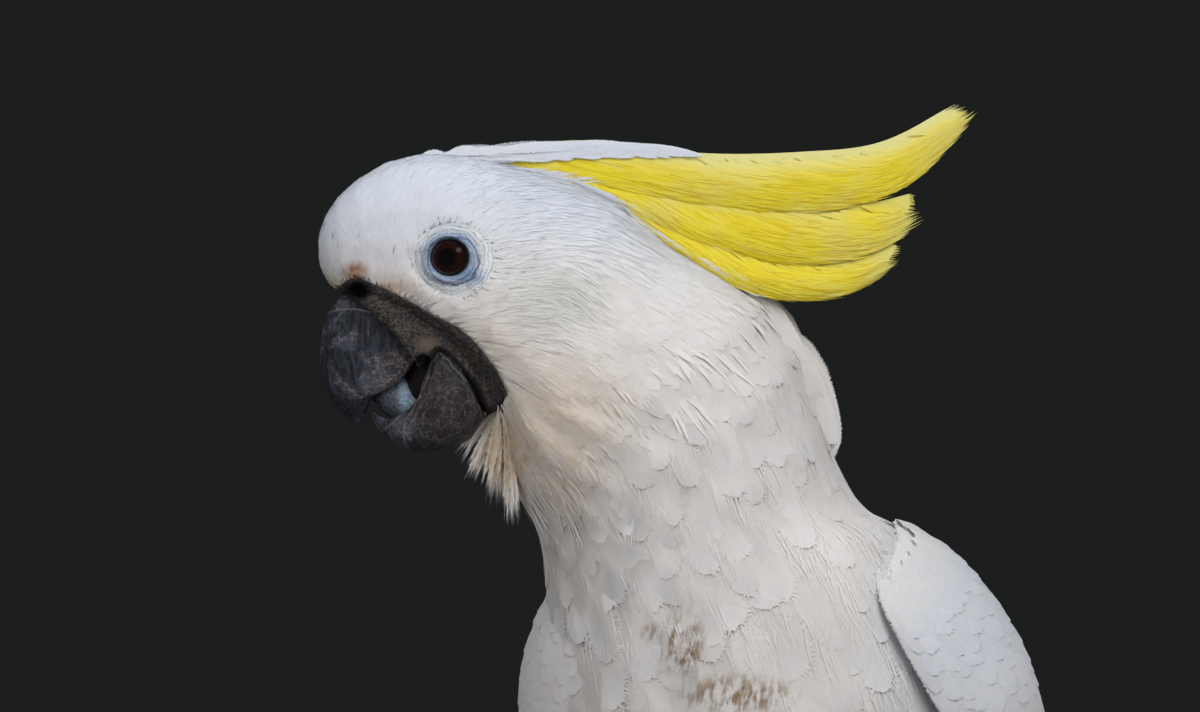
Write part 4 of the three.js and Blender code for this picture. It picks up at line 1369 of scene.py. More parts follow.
lining = egg("mouth_lining", head_place(-106.5, 0, 267.5), (6.0, 8.6, 8.5), 20)
rough(lining, 2.5 * MM, 0.3 * MM)

tongue = egg("tongue_skin", head_place(TONGUE["x"], 0, TONGUE["z"]), TONGUE["size"], TONGUE["turn"])
rough(tongue, 3 * MM, 0.2 * MM)

HORN = bill_material()
dressed(lining, plain_material("mouth", (0.012, 0.009, 0.009), 0.6), "dark_skin")
for piece, finish, slot_name, node in (
    (upper_bill, HORN, "bill_horn", "upper_bill"),
    (lower_bill, HORN, "bill_horn", "lower_bill"),
    (bill_skin, bill_skin_material(), "dark_skin", "bill_base"),
    (tongue, tongue_material(), "tongue", "tongue"),
):
    dressed(piece, finish, slot_name, node)

# ---------------------------------------------------------------- eyes
EYE_RADIUS = 8.1
LID_RADIUS = 5.35


def eye_ring(side):
    """Bare skin round the eye: a dark lid, a swollen blue ring, and looser folds out to the feathers."""
    middle, back, up, out = eye_frame(side)
    around, rings = 220, 64
    lid_out = math.sqrt(EYE_RADIUS**2 - LID_RADIUS**2) + 0.35
    points = []
    for r in range(rings):
        share = r / (rings - 1)
        for i in range(around):
            angle = 2 * math.pi * i / around
            c, s = math.cos(angle), math.sin(angle)
            edge = np.array([1.4 + 1.12 * RING_OUTER[0] / MM * c, -0.9 + 1.12 * RING_OUTER[1] / MM * s])
            start = np.array([LID_RADIUS * c, LID_RADIUS * 0.97 * s])
            flat = start + (edge - start) * share
            far = middle + (back * edge[0] + up * edge[1] + out * 40) * MM
            hit = body.tree.ray_cast(far.tolist(), (-out).tolist())[0]
            ground = dot(np.array(hit) - middle, out)[0] / MM - 0.5 if hit else 3.0
            swell = 1.5 * math.exp(-(((share - 0.24) / 0.17) ** 2))
            swell += 0.5 * math.exp(-(((share - 0.62) / 0.12) ** 2))
            fall = share * share * (3 - 2 * share)
            level = lid_out + (ground - lid_out) * fall + swell * (1 - fall * 0.5)
            wobble = noise.noise(Vector((c * 2.0, s * 2.0, share * 3.0)) + Vector((3, 1, 2)))
            folds = math.sin(share * 74 + wobble * 7.0 + 1.5 * math.sin(angle * 2)) * 0.10
            broken = 0.5 + 0.5 * noise.noise(Vector((c * 5.0, s * 5.0, share * 6.0)))
            grain = noise.noise(Vector((flat[0], flat[1], 0.0)) * 1.6) * 0.10
            level += (folds * broken + grain) * smooth_step(share, 0.02, 0.12)
            points.append(middle + (back * flat[0] + up * flat[1] + out * level) * MM)
    # A rim turns in over the eyeball.
    inner = []
    for i in range(around):
        angle = 2 * math.pi * i / around
        c, s = math.cos(angle), math.sin(angle)
        inner.append(middle + (back * c * 5.15 + up * s * 5.0 + out * (lid_out - 0.6)) * MM)
    points = inner + points
    made = mesh_object(f"eye_ring_skin_{side}", points, ring_faces(rings + 1, around))
    if dot(np.array(made.data.polygons[around * 20].normal), out)[0] < 0:
        made.data.flip_normals()
    return made


for side in SIDES:
    ball = egg(f"eyeball_{side}", EYES[side], (EYE_RADIUS,) * 3, 0, 96)
    dressed(ball, eye_material(side), "eye", f"eye_{side}")
    ring = eye_ring(side)
    dressed(ring, ring_material(side), "blue_skin", f"eye_ring_{side}")

# ---------------------------------------------------------------- skin under the coat, feet and claws
SKIN = skin_material()
skin.name = "feathered_skin"
dressed(skin, SKIN, "white_feather", *FLESH)

SCALES = foot_material()
CLAW = plain_material("claw horn", (0.03, 0.03, 0.035), 0.35)
for side in SIDES:
    name = f"foot_scales_{side}"
    foot = remeshed(joined_nodes(name, [f"foot_{side}"], 0), 0.7 * MM, 3, name)
    dressed(foot, SCALES, "foot_scale", f"foot_{side}")
    for toe in ("first", "second", "third", "fourth"):
        node = f"claw_{toe}_{side}"
        name = f"claw_horn_{toe}_{side}"
        claw = remeshed(joined_nodes(name, [node], 0), 0.35 * MM, 4, name)
        dressed(claw, CLAW, "bill_horn", node)


# ---------------------------------------------------------------- the coat of the head, neck and trunk
PLUME = feather_material("white feather")
FACE = feather_material("face feather", streak=0.16, glow=0.2, depth=0.00005)
SIZES = (  # reach along the body, feather length, width, in millimetres
    (0, 3.0, 1.6), (22, 4.8, 2.0), (40, 7.5, 2.3), (60, 12.0, 2.8), (85, 16.0, 4.2), (100, 22.0, 12.0),
    (130, 30.0, 19.0), (170, 36.0, 23.0), (230, 38.0, 24.0), (300, 36.0, 22.0), (420, 28.0, 16.0),
    (700, 24.0, 13.0),
)
TUFT_END = 0.088  # reach at which the face's tufts give way to vanes
TUFT_OVERLAP = 0.012  # how far both kinds run on past it
NECK_END = 0.16  # reach at which the trunk's pieces take over from the neck's
COAT_END = 0.44
HAIR_GAP = 2.4 * MM
LONG_TUFT = 8 * MM  # tufts longer than this have more barbs


def size_at(points):
    reach = along_body(points)[0] / MM
    table = np.array(SIZES, dtype=float).T
    return np.interp(reach, table[0], table[1]) * MM, np.interp(reach, table[0], table[2]) * MM


def jittered(normals, headings, degrees, rng):
    turn = np.radians(rng.normal(0, degrees, len(normals)))[:, None]
    return unit(headings * np.cos(turn) + np.cross(normals, headings) * np.sin(turn))


def ear_lie(points, headings, normals):
    """The feathers over the ear hang straight down."""
    middle = head_place(-67, 0, 296)
    offset = (points - middle) / (np.array([14.0, 60, 10.0]) * MM)
    share = smooth_step(1 - np.linalg.norm(offset * [1, 0, 1], axis=1), 0.0, 0.45)[:, None] * 0.8
    heading = headings * (1 - share) + np.array([0.15, 0, -1.0]) * share
    return square_to(heading, normals)


rng = np.random.default_rng(7)


def lay_in_pieces(name, templates, finish, parts, feathers, **how):
    """Lays feathers in several pieces, so that none is too large. feathers are arrays with a row each."""
    grid, facing, lengths, widths, low, high = feathers
    for i, part in enumerate(np.array_split(rng.permutation(len(grid)), parts)):
        coat = Coat(f"{name}_{i + 1}" if parts > 1 else name)
        coat.lay(templates, *(a[part] for a in (grid, facing, lengths, widths, low, high)), rng, **how)
        coat.made(finish, "white_feather")


def away_from_eye(points, headings, normals):
    """Next to the bare skin the feathers point away from the eye."""
    zone = eye_zone(points)
    nearer = np.where(points[:, 1:2] < EYE_MIDDLE[1], EYES["left"], EYES["right"])
    outward = points - nearer
    outward = square_to(outward, normals)
    share = smooth_step(zone, 1.5, 1.0)[:, None] * 0.9
    heading = headings * (1 - share) + outward * share
    return square_to(heading, normals)


def spaced(share):
    """A spacing of roots that is a share of the feathers' width."""
    return lambda points: size_at(points)[1] * share / math.sqrt(THIN)


def coat_roots(spacing, first, last, clear=-1.0):
    """Roots of the coat between two reaches, and outside the eyes' zone from clear up."""

    def between(points, _):
        reach = along_body(points)[0]
        return (reach > first) & (reach < last) & (eye_zone(points) > clear)

    roots, normals = body.even_roots(spacing, between, rng)
    keep = feathered(roots, normals)
    return roots[keep], normals[keep]


roots, normals = coat_roots(spaced(0.44), -1.0, TUFT_END + TUFT_OVERLAP, 0.78)
headings = ear_lie(roots, lie(roots, normals), normals)
headings = away_from_eye(roots, headings, normals)
headings = jittered(normals, headings, 6, rng)
lengths, widths = size_at(roots)
near_eye = smooth_step(eye_zone(roots), 0.78, 1.9)
lengths = lengths * rng.uniform(0.8, 1.25, len(roots)) * (0.45 + 0.55 * near_eye)
widths = widths * rng.uniform(0.8, 1.2, len(roots)) * (0.75 + 0.25 * near_eye)
grid, facing = conform(body, roots, normals, headings, lengths, widths, 4, 1)
deep = coat_depth(roots)
tucked = 0.3 * smooth_step(along_body(roots)[0], 0.055, 0.09)
high = deep * (rng.uniform(-0.06, 0.08, len(roots)) - tucked)
long_haired = lengths > LONG_TUFT
for name, barbs, mine in (("face_coat", 7, ~long_haired), ("cheek_coat", 13, long_haired)):
    rows = tuple(a[mine] for a in (grid, facing, lengths, widths, -deep * 0.6, high))
    tufts = [tuft(rng, barbs=barbs, slim=1.3) for _ in range(8)]
    lay_in_pieces(name, tufts, FACE, 4, rows, soft=0.96, roll=3)

BODY_VANES = [vane(rng, barbs=60, ragged=0.03, free=0.35, camber=0.04, tuck=0.012) for _ in range(8)]
roots, normals = coat_roots(spaced(0.4), TUFT_END - TUFT_OVERLAP, COAT_END)
reach = along_body(roots)[0]
leg = smooth_step(roots[:, 2], 0.082, 0.068)[:, None]
headings = lie(roots, normals) * (1 - leg) - UP * leg
headings = square_to(headings, normals)
headings = jittered(normals, headings, 6, rng)
lengths, widths = size_at(roots)
on_leg = leg[:, 0] > 0.4
lengths = lengths * np.where(on_leg, 0.5, 1.0) * rng.uniform(0.85, 1.2, len(roots))
widths = widths * np.where(on_leg, 0.5, 1.0) * rng.uniform(0.85, 1.15, len(roots))
grid, facing = conform(body, roots, normals, headings, lengths, widths, 5, 3)
deep = coat_depth(roots)
proud = rng.random(len(roots)) ** 5 * 0.3
low = -deep * 0.3
high = deep * (rng.uniform(-0.01, 0.03, len(roots)) + proud * 0.1)
for name, mine in (("neck_coat", reach < NECK_END), ("trunk_coat", reach >= NECK_END)):
    rows = tuple(a[mine] for a in (grid, facing, lengths, widths, low, high))
    lay_in_pieces(name, BODY_VANES, PLUME, 4, rows, soft=0.98, roll=0.5)

# Fine hairs of down lie over the neck and breast and soften the feathers' edges.
HAIRS = [strand(rng) for _ in range(6)]
roots, normals = coat_roots(lambda points: np.full(len(points), HAIR_GAP / math.sqrt(THIN)), 0.07, 0.30)
headings = jittered(normals, lie(roots, normals), 11, rng)
lengths = rng.uniform(7, 15, len(roots)) * MM
widths = rng.uniform(0.16, 0.3, len(roots)) * MM
grid, facing = conform(body, roots, normals, headings, lengths, widths, 4, 1)
low = np.full(len(roots), -0.3 * MM)
high = rng.uniform(-0.2, 0.0, len(roots)) * MM
coat = Coat("down")
TIP_ONLY = np.broadcast_to((1.0, 0.5), (*grid.shape[:3], 2))  # a hair has a tip's colour all along, without the painted shade of a covered part
coat.lay(HAIRS, grid, facing, lengths, widths, low, high, rng, soft=0.95, roll=0, marks=TIP_ONLY)
coat.made(FACE, "white_feather")

# ---------------------------------------------------------------- loose locks
LOCK_VANES = [vane(rng, barbs=60, ragged=0.012, free=0.14, camber=0.12, tip_round=0.6) for _ in range(4)]
POINTED = [vane(rng, barbs=14, ragged=0.12, free=0.55, camber=0.1, tip_round=1.3) for _ in range(6)]


def loose(name, locks, templates, spread):
    """Locks that stand off the body. Each is (root, tip, width, count), in table places.

    A lock's feathers start round the root, within spread millimetres, and point to the tip.
    """
    coat = Coat(name)
    for root, tip, wide, count in locks:
        for _ in range(count):
            start = body.nearest(np.array([place(*root)]) + rng.normal(0, spread, 3) * MM)[0][0]
            end = place(*tip) + rng.normal(0, spread * 0.6, 3) * MM
            long = np.linalg.norm(end - start)
            mid = (start + end) / 2 + unit(np.array([0.3, 0.0, 1.0])) * 0.08 * long
            path = spline([start, mid, end], np.linspace(0, 1, 5))
            width = wide * MM * rng.uniform(0.8, 1.2)
            lock = strip(path, np.array([0.25, -1.0, 0.25]), width)
            coat.lay_one(templates, *lock, long, width, 0.3 * MM, 0.3 * MM, soft=0.6)
    coat.made(PLUME, "white_feather")


NAPE = [  # root, tip, width, how many
    ((-14, -42, 294), (-0.5, -38, 268), 9, 5),
    ((-15, -30, 292), (0.0, -28, 270), 10, 5),
    ((-8, -38, 274), (7.5, -34, 247), 11, 6),
    ((-9, -28, 276), (6.0, -26, 251), 12, 5),
    ((-5, -34, 262), (5.0, -32, 240), 11, 5),
]
loose("nape_locks", NAPE, LOCK_VANES, 2.0)
CHIN = [
    ((-88, -38, 258), (-92.5, -40, 242), 1.5, 24),
    ((-86, -44, 257), (-88, -46, 238), 1.5, 28),
    ((-84, -32, 257), (-86, -32, 236), 1.6, 24),
    ((-82, -46, 254), (-82, -48, 231), 1.7, 28),
    ((-84, -24, 257), (-87, -22, 238), 1.5, 24),
    ((-92, -36, 260), (-95, -38, 248), 1.3, 20),
]
loose("chin_tufts", CHIN, POINTED, 2.2)
loose("stray_feathers", [((-108, -38, 329), (-102, -38, 331.6), 1.8, 2)], POINTED, 0.6)

# ---------------------------------------------------------------- crest
# A lobe of the crest, seen from the side: its upper and lower edges from root to tip, and how far out it
# stands.
CREST = {
    "front": {
        "upper": [
            (-97.0, 332.0), (-60.0, 335.3), (-28.6, 331.7),
            (0, 332.0), (23.5, 335.0), (46.6, 347.1),
        ],
        "lower": [
            (-95.0, 329.5), (-60.0, 321.0), (-28.6, 316.5),
            (0, 314.8), (27.1, 320.5), (49.1, 339.4),
        ],
        "sideways": 1.2,
    },
    "middle": {
        "upper": [
            (-68.6, 326.8), (-45.7, 321.1), (-22.9, 316.5),
            (0, 314.8), (20.0, 317.4), (33.1, 320.5),
        ],
        "lower": [
            (-65.7, 324.0), (-45.7, 314.0), (-27.1, 305.4),
            (-5.7, 300.5), (15.7, 301.4), (33.1, 310.3),
        ],
        "sideways": 3.2,
    },
    "rear": {
        "upper": [
            (-57.1, 321.1), (-40.0, 311.1), (-22.9, 304.0),
            (-5.7, 300.0), (11.4, 300.5), (29.1, 306.8),
        ],
        "lower": [
            (-51.4, 316.8), (-37.1, 305.4), (-22.9, 296.8),
            (-6.9, 291.4), (11.4, 291.6), (28.0, 299.4),
        ],
        "sideways": 5.2,
    },
}
CREST_HOLLOW = 3.2


def crest_sheet(lobe, side, t, k, lift):
    """Points of a lobe at t along it and k down from its upper edge, and its outward normals."""
    upper, lower = spline(lobe["upper"], t), spline(lobe["lower"], t)
    at = upper + (lower - upper) * k[..., None]
    bulge = lobe["sideways"] + CREST_HOLLOW * np.sin(math.pi * 0.75 * np.clip(k, 0, 1.1))
    lateral = side * (bulge * (0.55 + 0.45 * np.sin(math.pi * np.clip(t, 0, 1))) + lift)
    flat = np.stack([at[..., 0], TABLE_EYE[1] - lateral, at[..., 1]], axis=-1)
    return flat * MM + SHIFT


def half_vane(rng, barbs):
    """One side of a long feather: barbs from the shaft at across 0 that sweep back and down to across 1."""
    ragged, free, lean = 0.03, 0.22, 0.34
    made = Template()
    inner = 1 - free
    lines = []
    split = 0.0
    for i in range(barbs + 1):
        s = i / barbs
        shaft = 0.97 * s
        if rng.random() < 0.08:
            split = rng.normal(0, 0.012)
        end_along = min(shaft + lean * (1 - s**3) + 0.03, 1.0 + 0.02 * s) + split
        end_across = (1 - s**7) * (1 + rng.normal(0, ragged * 0.3))
        line = []
        for q in np.array((0.0, 0.3, 0.6, 1.0)) * inner:
            along = shaft + (end_along - shaft) * q**0.85
            line.append(made.corner(along, end_across * q, 0.0, i * 0.35, q))
        lines.append((line, end_along, end_across))
    for (low, low_along, low_across), (high, high_along, high_across) in zip(lines, lines[1:]):
        for c in range(3):
            made.quad(low[c], low[c + 1], high[c + 1], high[c])
        along = (low_along + high_along) / 2 + rng.normal(0, ragged * 0.4)
        across = (low_across + high_across) / 2 * (1 + rng.normal(0, ragged))
        tip = made.corner(along, across, 0.0, made.corners[low[0]][3] + 0.17, 1.0)
        made.triangles.append((low[3], tip, high[3]))
    return made.done()


def crest_normal(lobe, sign, t, k, lift):
    """The outward normals of a lobe, flattened towards the side."""
    ahead = crest_sheet(lobe, sign, t + 0.01, k, lift) - crest_sheet(lobe, sign, t - 0.01, k, lift)
    down = crest_sheet(lobe, sign, t, k + 0.01, lift) - crest_sheet(lobe, sign, t, k - 0.01, lift)
    normal = unit(np.cross(ahead, down))
    normal *= np.where(-sign * normal[..., 1:2] < 0, -1, 1)
    return unit(normal * 0.55 + np.array([0, -sign * 0.45, 0.1]))


def swept(lobe, t, k, lengths, lean):
    """Paths over a lobe from t and k, that lean down from its upper edge and then run along it."""
    upper, lower = (spline(lobe[edge], np.linspace(0, 1, 60)) for edge in ("upper", "lower"))
    long = np.linalg.norm(np.diff(upper, axis=0), axis=1).sum()
    depths = np.linalg.norm(lower - upper, axis=1)
    ts, ks = [t], [k]
    steps = 7
    for i in range(1, steps):
        depth = np.interp(t, np.linspace(0, 1, 60), depths)
        angle = lean * (1 - i / steps) ** 0.6 * np.clip(1.15 - ks[-1], 0, 1)
        ts.append(ts[-1] + lengths / (steps - 1) * np.cos(angle) / long)
        ks.append(ks[-1] + lengths / (steps - 1) * np.sin(angle) / depth)
    return np.stack(ts, axis=1), np.stack(ks, axis=1)


def lay_on_lobe(coat, templates, lobe, sign, ts, ks, lengths, widths, lifts, low, high, plain=0.0, **how):
    """Feathers along paths of t and k on a lobe, each lifts millimetres out from it."""
    middle = crest_sheet(lobe, sign, ts, ks, lifts[:, None])
    normal = crest_normal(lobe, sign, ts, ks, lifts[:, None])
    ahead = unit(np.gradient(middle, axis=1))
    across = unit(np.cross(normal, ahead)) * widths[:, None, None] * MM
    grid = np.stack([middle + across * c for c in (-0.5, 0, 0.5)], axis=2)
    facing = np.repeat(normal[:, :, None], 3, axis=2)
    # The shader gets k for a lobe's pale top and deeper gold below, which are partly painted light and shade.
    marks = np.repeat(np.stack([plain + (1 - plain) * ks, ts], axis=-1)[:, :, None], 3, axis=2)
    one = np.ones(len(ts)) * MM
    coat.lay(
        templates, grid, facing, lengths * MM, widths * MM, one * low, one * high, rng, marks=marks, **how
    )


TUCKED = {"front": 0.0, "middle": -0.55, "rear": -0.75}  # how far a lobe runs up under the one above it
ROUNDED = {"front": 0.05, "middle": 0.02, "rear": 0.04}  # how much of its length a lobe's corners lose
# How far down the pale upper part of a front lobe another one starts, so that a tucked lobe's top gets less
# of the pale, which is partly painted light.
PLAIN = {"front": 0.0, "middle": 0.3, "rear": 0.4}
HAIRLINE = {"front": 0.13, "middle": 0.06, "rear": 0.52}  # t to which the head's white feathers meet it
LOCKS_ON_LOBE = {"front": 900, "middle": 620, "rear": 520}
YELLOWS = ((0.88, 0.84, 0.38), (0.92, 0.80, 0.05), (0.70, 0.50, 0.01))  # pale, rich and deep: the deep is painted shade, the pale partly painted light
YELLOW_FEATHER = feather_material("yellow feather", yellow=YELLOWS, depth=0.0001)
SILK = [tuft(rng, barbs=7, slim=1.5) for _ in range(8)]
for name, lobe in CREST.items():
    for side, sign in SIDES.items():
        coat = Coat(f"crest_feathers_{name}_{side}")
        template = half_vane(rng, barbs=120)
        along, across, _, barb, _ = template.corners.T
        top = TUCKED[name] * smooth_step(along, 0.85, 0.55)
        along = along - ROUNDED[name] * smooth_step(along, 0.8, 1.0) * np.abs(2 * across - 1) ** 2.5
        k = top + (1.0 - top) * across
        points = crest_sheet(lobe, sign, along, k, 0.0)
        coat.points.append(points)
        coat.normals.append(crest_normal(lobe, sign, along, k, 0.0))
        coat.triangles.append(template.triangles + coat.count)
        coat.count += len(points)
        # k goes to the shader as well, for the lobe's partly painted light and shade.
        coat.barbs.append(np.stack([barb, PLAIN[name] + (1 - PLAIN[name]) * np.clip(k, 0, 1), along], axis=1))
        coat.patches.append(unwrap(points) + np.stack([across, along], axis=1) * 0.003)
        count = int(LOCKS_ON_LOBE[name] * THIN)
        t = rng.uniform(-0.01, 0.9, count)
        k = rng.uniform(0.07 if name == "front" else -0.3, 0.86, count)
        lengths = rng.uniform(20, 38, count)
        ts, ks = swept(lobe, t, k, lengths, math.radians(30) * rng.uniform(0.6, 1.1, count))
        rounded = 1.005 - ROUNDED[name] * np.abs(2 * ks[:, -1] - 1) ** 2.5
        inside = (ts[:, -1] < rounded + 0.012 * rng.random(count)) & ((ks[:, 0] > 0) | (ts[:, -1] < 0.7))
        lifts = 0.15 + 0.9 * ts[:, 0] + rng.uniform(0, 0.25, count)
        rows = (ts[inside], ks[inside], lengths[inside], rng.uniform(1.6, 2.8, count)[inside], lifts[inside])
        lay_on_lobe(coat, SILK, lobe, sign, *rows, -0.1, 0.35, plain=PLAIN[name], soft=0.8, roll=3)
        coat.made(YELLOW_FEATHER, "yellow_feather", f"crest_{name}_{side}")

# White feathers of the head run out over the lower edges of the lobes.
coat = Coat("hairline")
for name, lobe in CREST.items():
    for sign in SIDES.values():
        count = int(900 * (HAIRLINE[name] + 0.04) * THIN)
        t = rng.uniform(-0.04, HAIRLINE[name], count)
        k = rng.normal(1.06, 0.06, count)
        lengths = rng.uniform(6, 17, count)
        steps = np.linspace(0, 1, 7)
        long = np.linalg.norm(np.array(lobe["upper"][-1]) - lobe["upper"][0])
        ts = t[:, None] + lengths[:, None] / long * steps
        ks = k[:, None] - rng.uniform(0.0, 0.30, count)[:, None] * steps
        rows = (ts, ks, lengths, rng.uniform(0.8, 1.5, count), np.full(count, 0.9))
        lay_on_lobe(coat, SILK, lobe, sign, *rows, -0.4, 0.1, soft=0.8)
coat.made(FACE, "white_feather")

# Long white feathers of the crown lie over the front of the crest, down to k of WHITE_BAND at each t.
WHITE_BAND = ((0, 0.06, 0.12, 0.20, 0.27, 0.34, 0.41), (0.9, 0.62, 0.48, 0.36, 0.25, 0.12, 0.0))
CROWN = [vane(rng, barbs=40, ragged=0.02, free=0.3, camber=0.04, tip_round=0.9) for _ in range(4)]
coat = Coat("crown_feathers")
for side, sign in SIDES.items():
    for i in range(int(110 * THIN)):
        tip_t = 0.02 + 0.39 * rng.random() ** 0.8
        tip_k = 0.05 + np.interp(tip_t, *WHITE_BAND) * rng.random() ** 0.7
        tip = crest_sheet(CREST["front"], sign, np.array(tip_t), np.array(tip_k), 1.3)
        root_x = max((tip[0] - SHIFT[0]) / MM - rng.uniform(18, 34), -104 + rng.uniform(0, 8))
        over = head_place(root_x, sign * rng.uniform(0.3, 5.0), 336)
        root = body.nearest(over[None])[0][0]
        if root_x > -88:
            root_t = np.array(np.interp(root_x, (-97, -60, -28), (0, 0.2, 0.4)))
            root = crest_sheet(CREST["front"], sign, root_t, np.array(tip_k * 0.5), 0.6)
        path = root + (tip - root) * np.linspace(0, 1, 7)[:, None]
        path[:, 2] += np.sin(np.linspace(0, math.pi, 7)) * 0.9 * MM
        ground, ground_normal = body.nearest(path)
        height = dot(path - ground, ground_normal)
        path = path + ground_normal * np.maximum(0.35 * MM - height, 0)
        outward = np.linspace([0, -sign * 0.45, 0.9], [0, -sign * 1.0, 0.35], 7)
        width = rng.uniform(3.6, 5.6) * MM * (1.0 - 1.6 * tip_t)
        length = np.linalg.norm(path[-1] - path[0])
        feather = strip(path, outward, width)
        coat.lay_one(CROWN, *feather, length, width, -0.3 * MM, 0.3 * MM, soft=0.85, roll=3)
coat.made(PLUME, "white_feather")

# ---------------------------------------------------------------- tail
TAIL = {"u": -75, "z": 98, "slope": 26, "length": 182, "width": 31, "feathers": 12, "fan": 1.55, "arch": 3.2}
tail_slope = math.radians(TAIL["slope"])
tail_back = -TRUNK_FORWARD * math.cos(tail_slope) - np.array([0, 0, math.sin(tail_slope)])
tail_over = np.cross(TRUNK_LEFT, tail_back)
tail_over *= np.sign(tail_over[2])
tail_root = trunk_place(TAIL["u"], 0, TAIL["z"])
LONG_VANES = [
    vane(rng, barbs=90, ragged=0.012, free=0.08, tip_round=0.36, start=0.03, tuck=0) for _ in range(3)
]
coat = Coat("tail_feathers")
for i in range(TAIL["feathers"]):
    place_in_fan = i - (TAIL["feathers"] - 1) / 2
    rank = abs(place_in_fan)
    long = (TAIL["length"] - rank * rank * 0.5) * MM
    wide = TAIL["width"] * MM
    turn = math.radians(place_in_fan * TAIL["fan"])
    heading = tail_back * math.cos(turn) + TRUNK_LEFT * math.sin(turn)
    tilt = math.radians(place_in_fan * TAIL["arch"])
    over = unit(tail_over * math.cos(tilt) + unit(TRUNK_LEFT) * math.sin(tilt))
    spread = np.cross(over, heading)
    rows = []
    for t in np.linspace(0, 1, 7):
        middle = tail_root + heading * long * t + TRUNK_LEFT * place_in_fan * 1.4 * MM
        middle = middle + tail_over * (1.0 - rank * 0.85) * MM
        rows.append([middle + spread * wide * c for c in (-0.5, 0.0, 0.5)])
    grid = np.array(rows)
    coat.lay_one(LONG_VANES, grid, np.broadcast_to(over, grid.shape), long, wide, 0.0, 0.0, soft=0.3, roll=0)
coat.made(PLUME, "white_feather", "tail")

# ---------------------------------------------------------------- wings
# Each place on a folded wing is t from the shoulder to its tip and k from the spine to its lower edge.
WING = [  # forward, left, height, tilt, depth, width, start and end angle, and thickness
    (36, -7, 222, 27, 46, 42, 68, 118, 5),
    (36, -6, 211, 29, 53, 56, 50, 124, 12),
    (31, -5, 195, 32, 59, 68, 32, 124, 15),
    (23, -3, 174, 36, 62, 76, 20, 120, 17),
    (8, -1, 146, 42, 62, 77, 12, 116, 18),
    (-14, 0, 120, 48, 57, 70, 7, 112, 17),
    (-42, 0, 102, 54, 45, 57, 5, 108, 15),
    (-72, 0, 92, 60, 32, 43, 4, 104, 11),
    (-105, 0, 82, 63, 21.5, 32, 4, 98, 7),
    (-140, 0, 68, 64, 14, 25, 4, 92, 4),
    (-172, 0, 53, 64, 10.8, 18, 5, 84, 2.6),
    (-196, 0, 42, 64, 9, 11, 10, 66, 1.6),
]


def wing_place(sign, t, k, lift):
    """Points on the wing's outer face, lift millimetres out."""
    values = spline(WING, t)
    u, lateral, z, tilt, deep, wide, start, end, thick = np.moveaxis(values, -1, 0)
    angle = np.radians(start + (end - start) * k)
    rim = np.sin(math.pi * (0.02 + 0.96 * np.clip(k, 0, 1))) ** 0.35
    lift = lift - thick * (1 - rim) * 0.9
    tilt = np.radians(tilt)
    dorsal = -TRUNK_FORWARD * np.cos(tilt)[..., None] + UP * np.sin(tilt)[..., None]
    middle = TRUNK_FORWARD * u[..., None] + TRUNK_LEFT * lateral[..., None] + UP * z[..., None]
    out = TRUNK_LEFT * sign * (np.sin(angle) * (wide + lift))[..., None]
    return (middle + out + dorsal * (np.cos(angle) * (deep + lift))[..., None]) * MM + SHIFT


def wing_normal(sign, t, k, lift):
    later, earlier = np.minimum(t + 0.01, 1), np.maximum(t - 0.01, 0)
    lower, higher = np.minimum(k + 0.01, 1), np.maximum(k - 0.01, 0)
    ahead = wing_place(sign, later, k, lift) - wing_place(sign, earlier, k, lift)
    down = wing_place(sign, t, lower, lift) - wing_place(sign, t, higher, lift)
    normal = unit(np.cross(ahead, down))
    outward = wing_place(sign, t, k, lift + 5) - wing_place(sign, t, k, lift)
    return normal * np.where(dot(normal, outward) < 0, -1, 1)


def wing_feather(sign, start, end, wide, lift):
    """The grid of a long feather from (t, k) start to end, wide in millimetres, and its normals."""
    t, k = (np.linspace(start[i], end[i], 8) for i in range(2))
    middle = wing_place(sign, t, k, lift)
    down = unit(wing_place(sign, t, k + 0.01, lift) - middle)
    ahead = unit(np.gradient(middle, axis=0))
    normal = unit(np.cross(ahead, down))
    normal *= np.sign(dot(normal, middle - wing_place(sign, t, k, lift - 5)))
    across = np.cross(normal, ahead)
    columns = [
        middle + across * wide * MM * c - normal * wide * MM * 0.10 * abs(c) * 2 for c in (-0.5, 0, 0.5)
    ]
    return np.stack(columns, axis=1), np.repeat(normal[:, None], 3, axis=1)


def covert_grid(sign, t, k, long_t, wide, lift):
    """The grid of a covert that starts at t and k, long_t along the wing, and wide millimetres across."""
    steps = np.linspace(0, 1, 5)
    ts = np.minimum(t + long_t * steps, 0.995)
    at = wing_place(sign, ts, np.full(5, k), lift)
    one_k = np.linalg.norm(wing_place(sign, ts, np.full(5, k + 0.01), lift) - at, axis=1) * 100 / MM
    columns, normals = [], []
    for c in (-0.5, 0, 0.5):
        ks = np.clip(k + c * wide / one_k, 0.0, 1.0)
        columns.append(wing_place(sign, ts, ks, lift))
        normals.append(wing_normal(sign, ts, ks, lift))
    return np.stack(columns, axis=1), np.stack(normals, axis=1)


def grid_length(grid):
    """The length of a grid's middle column."""
    return np.linalg.norm(np.diff(grid[:, 1], axis=0), axis=1).sum()


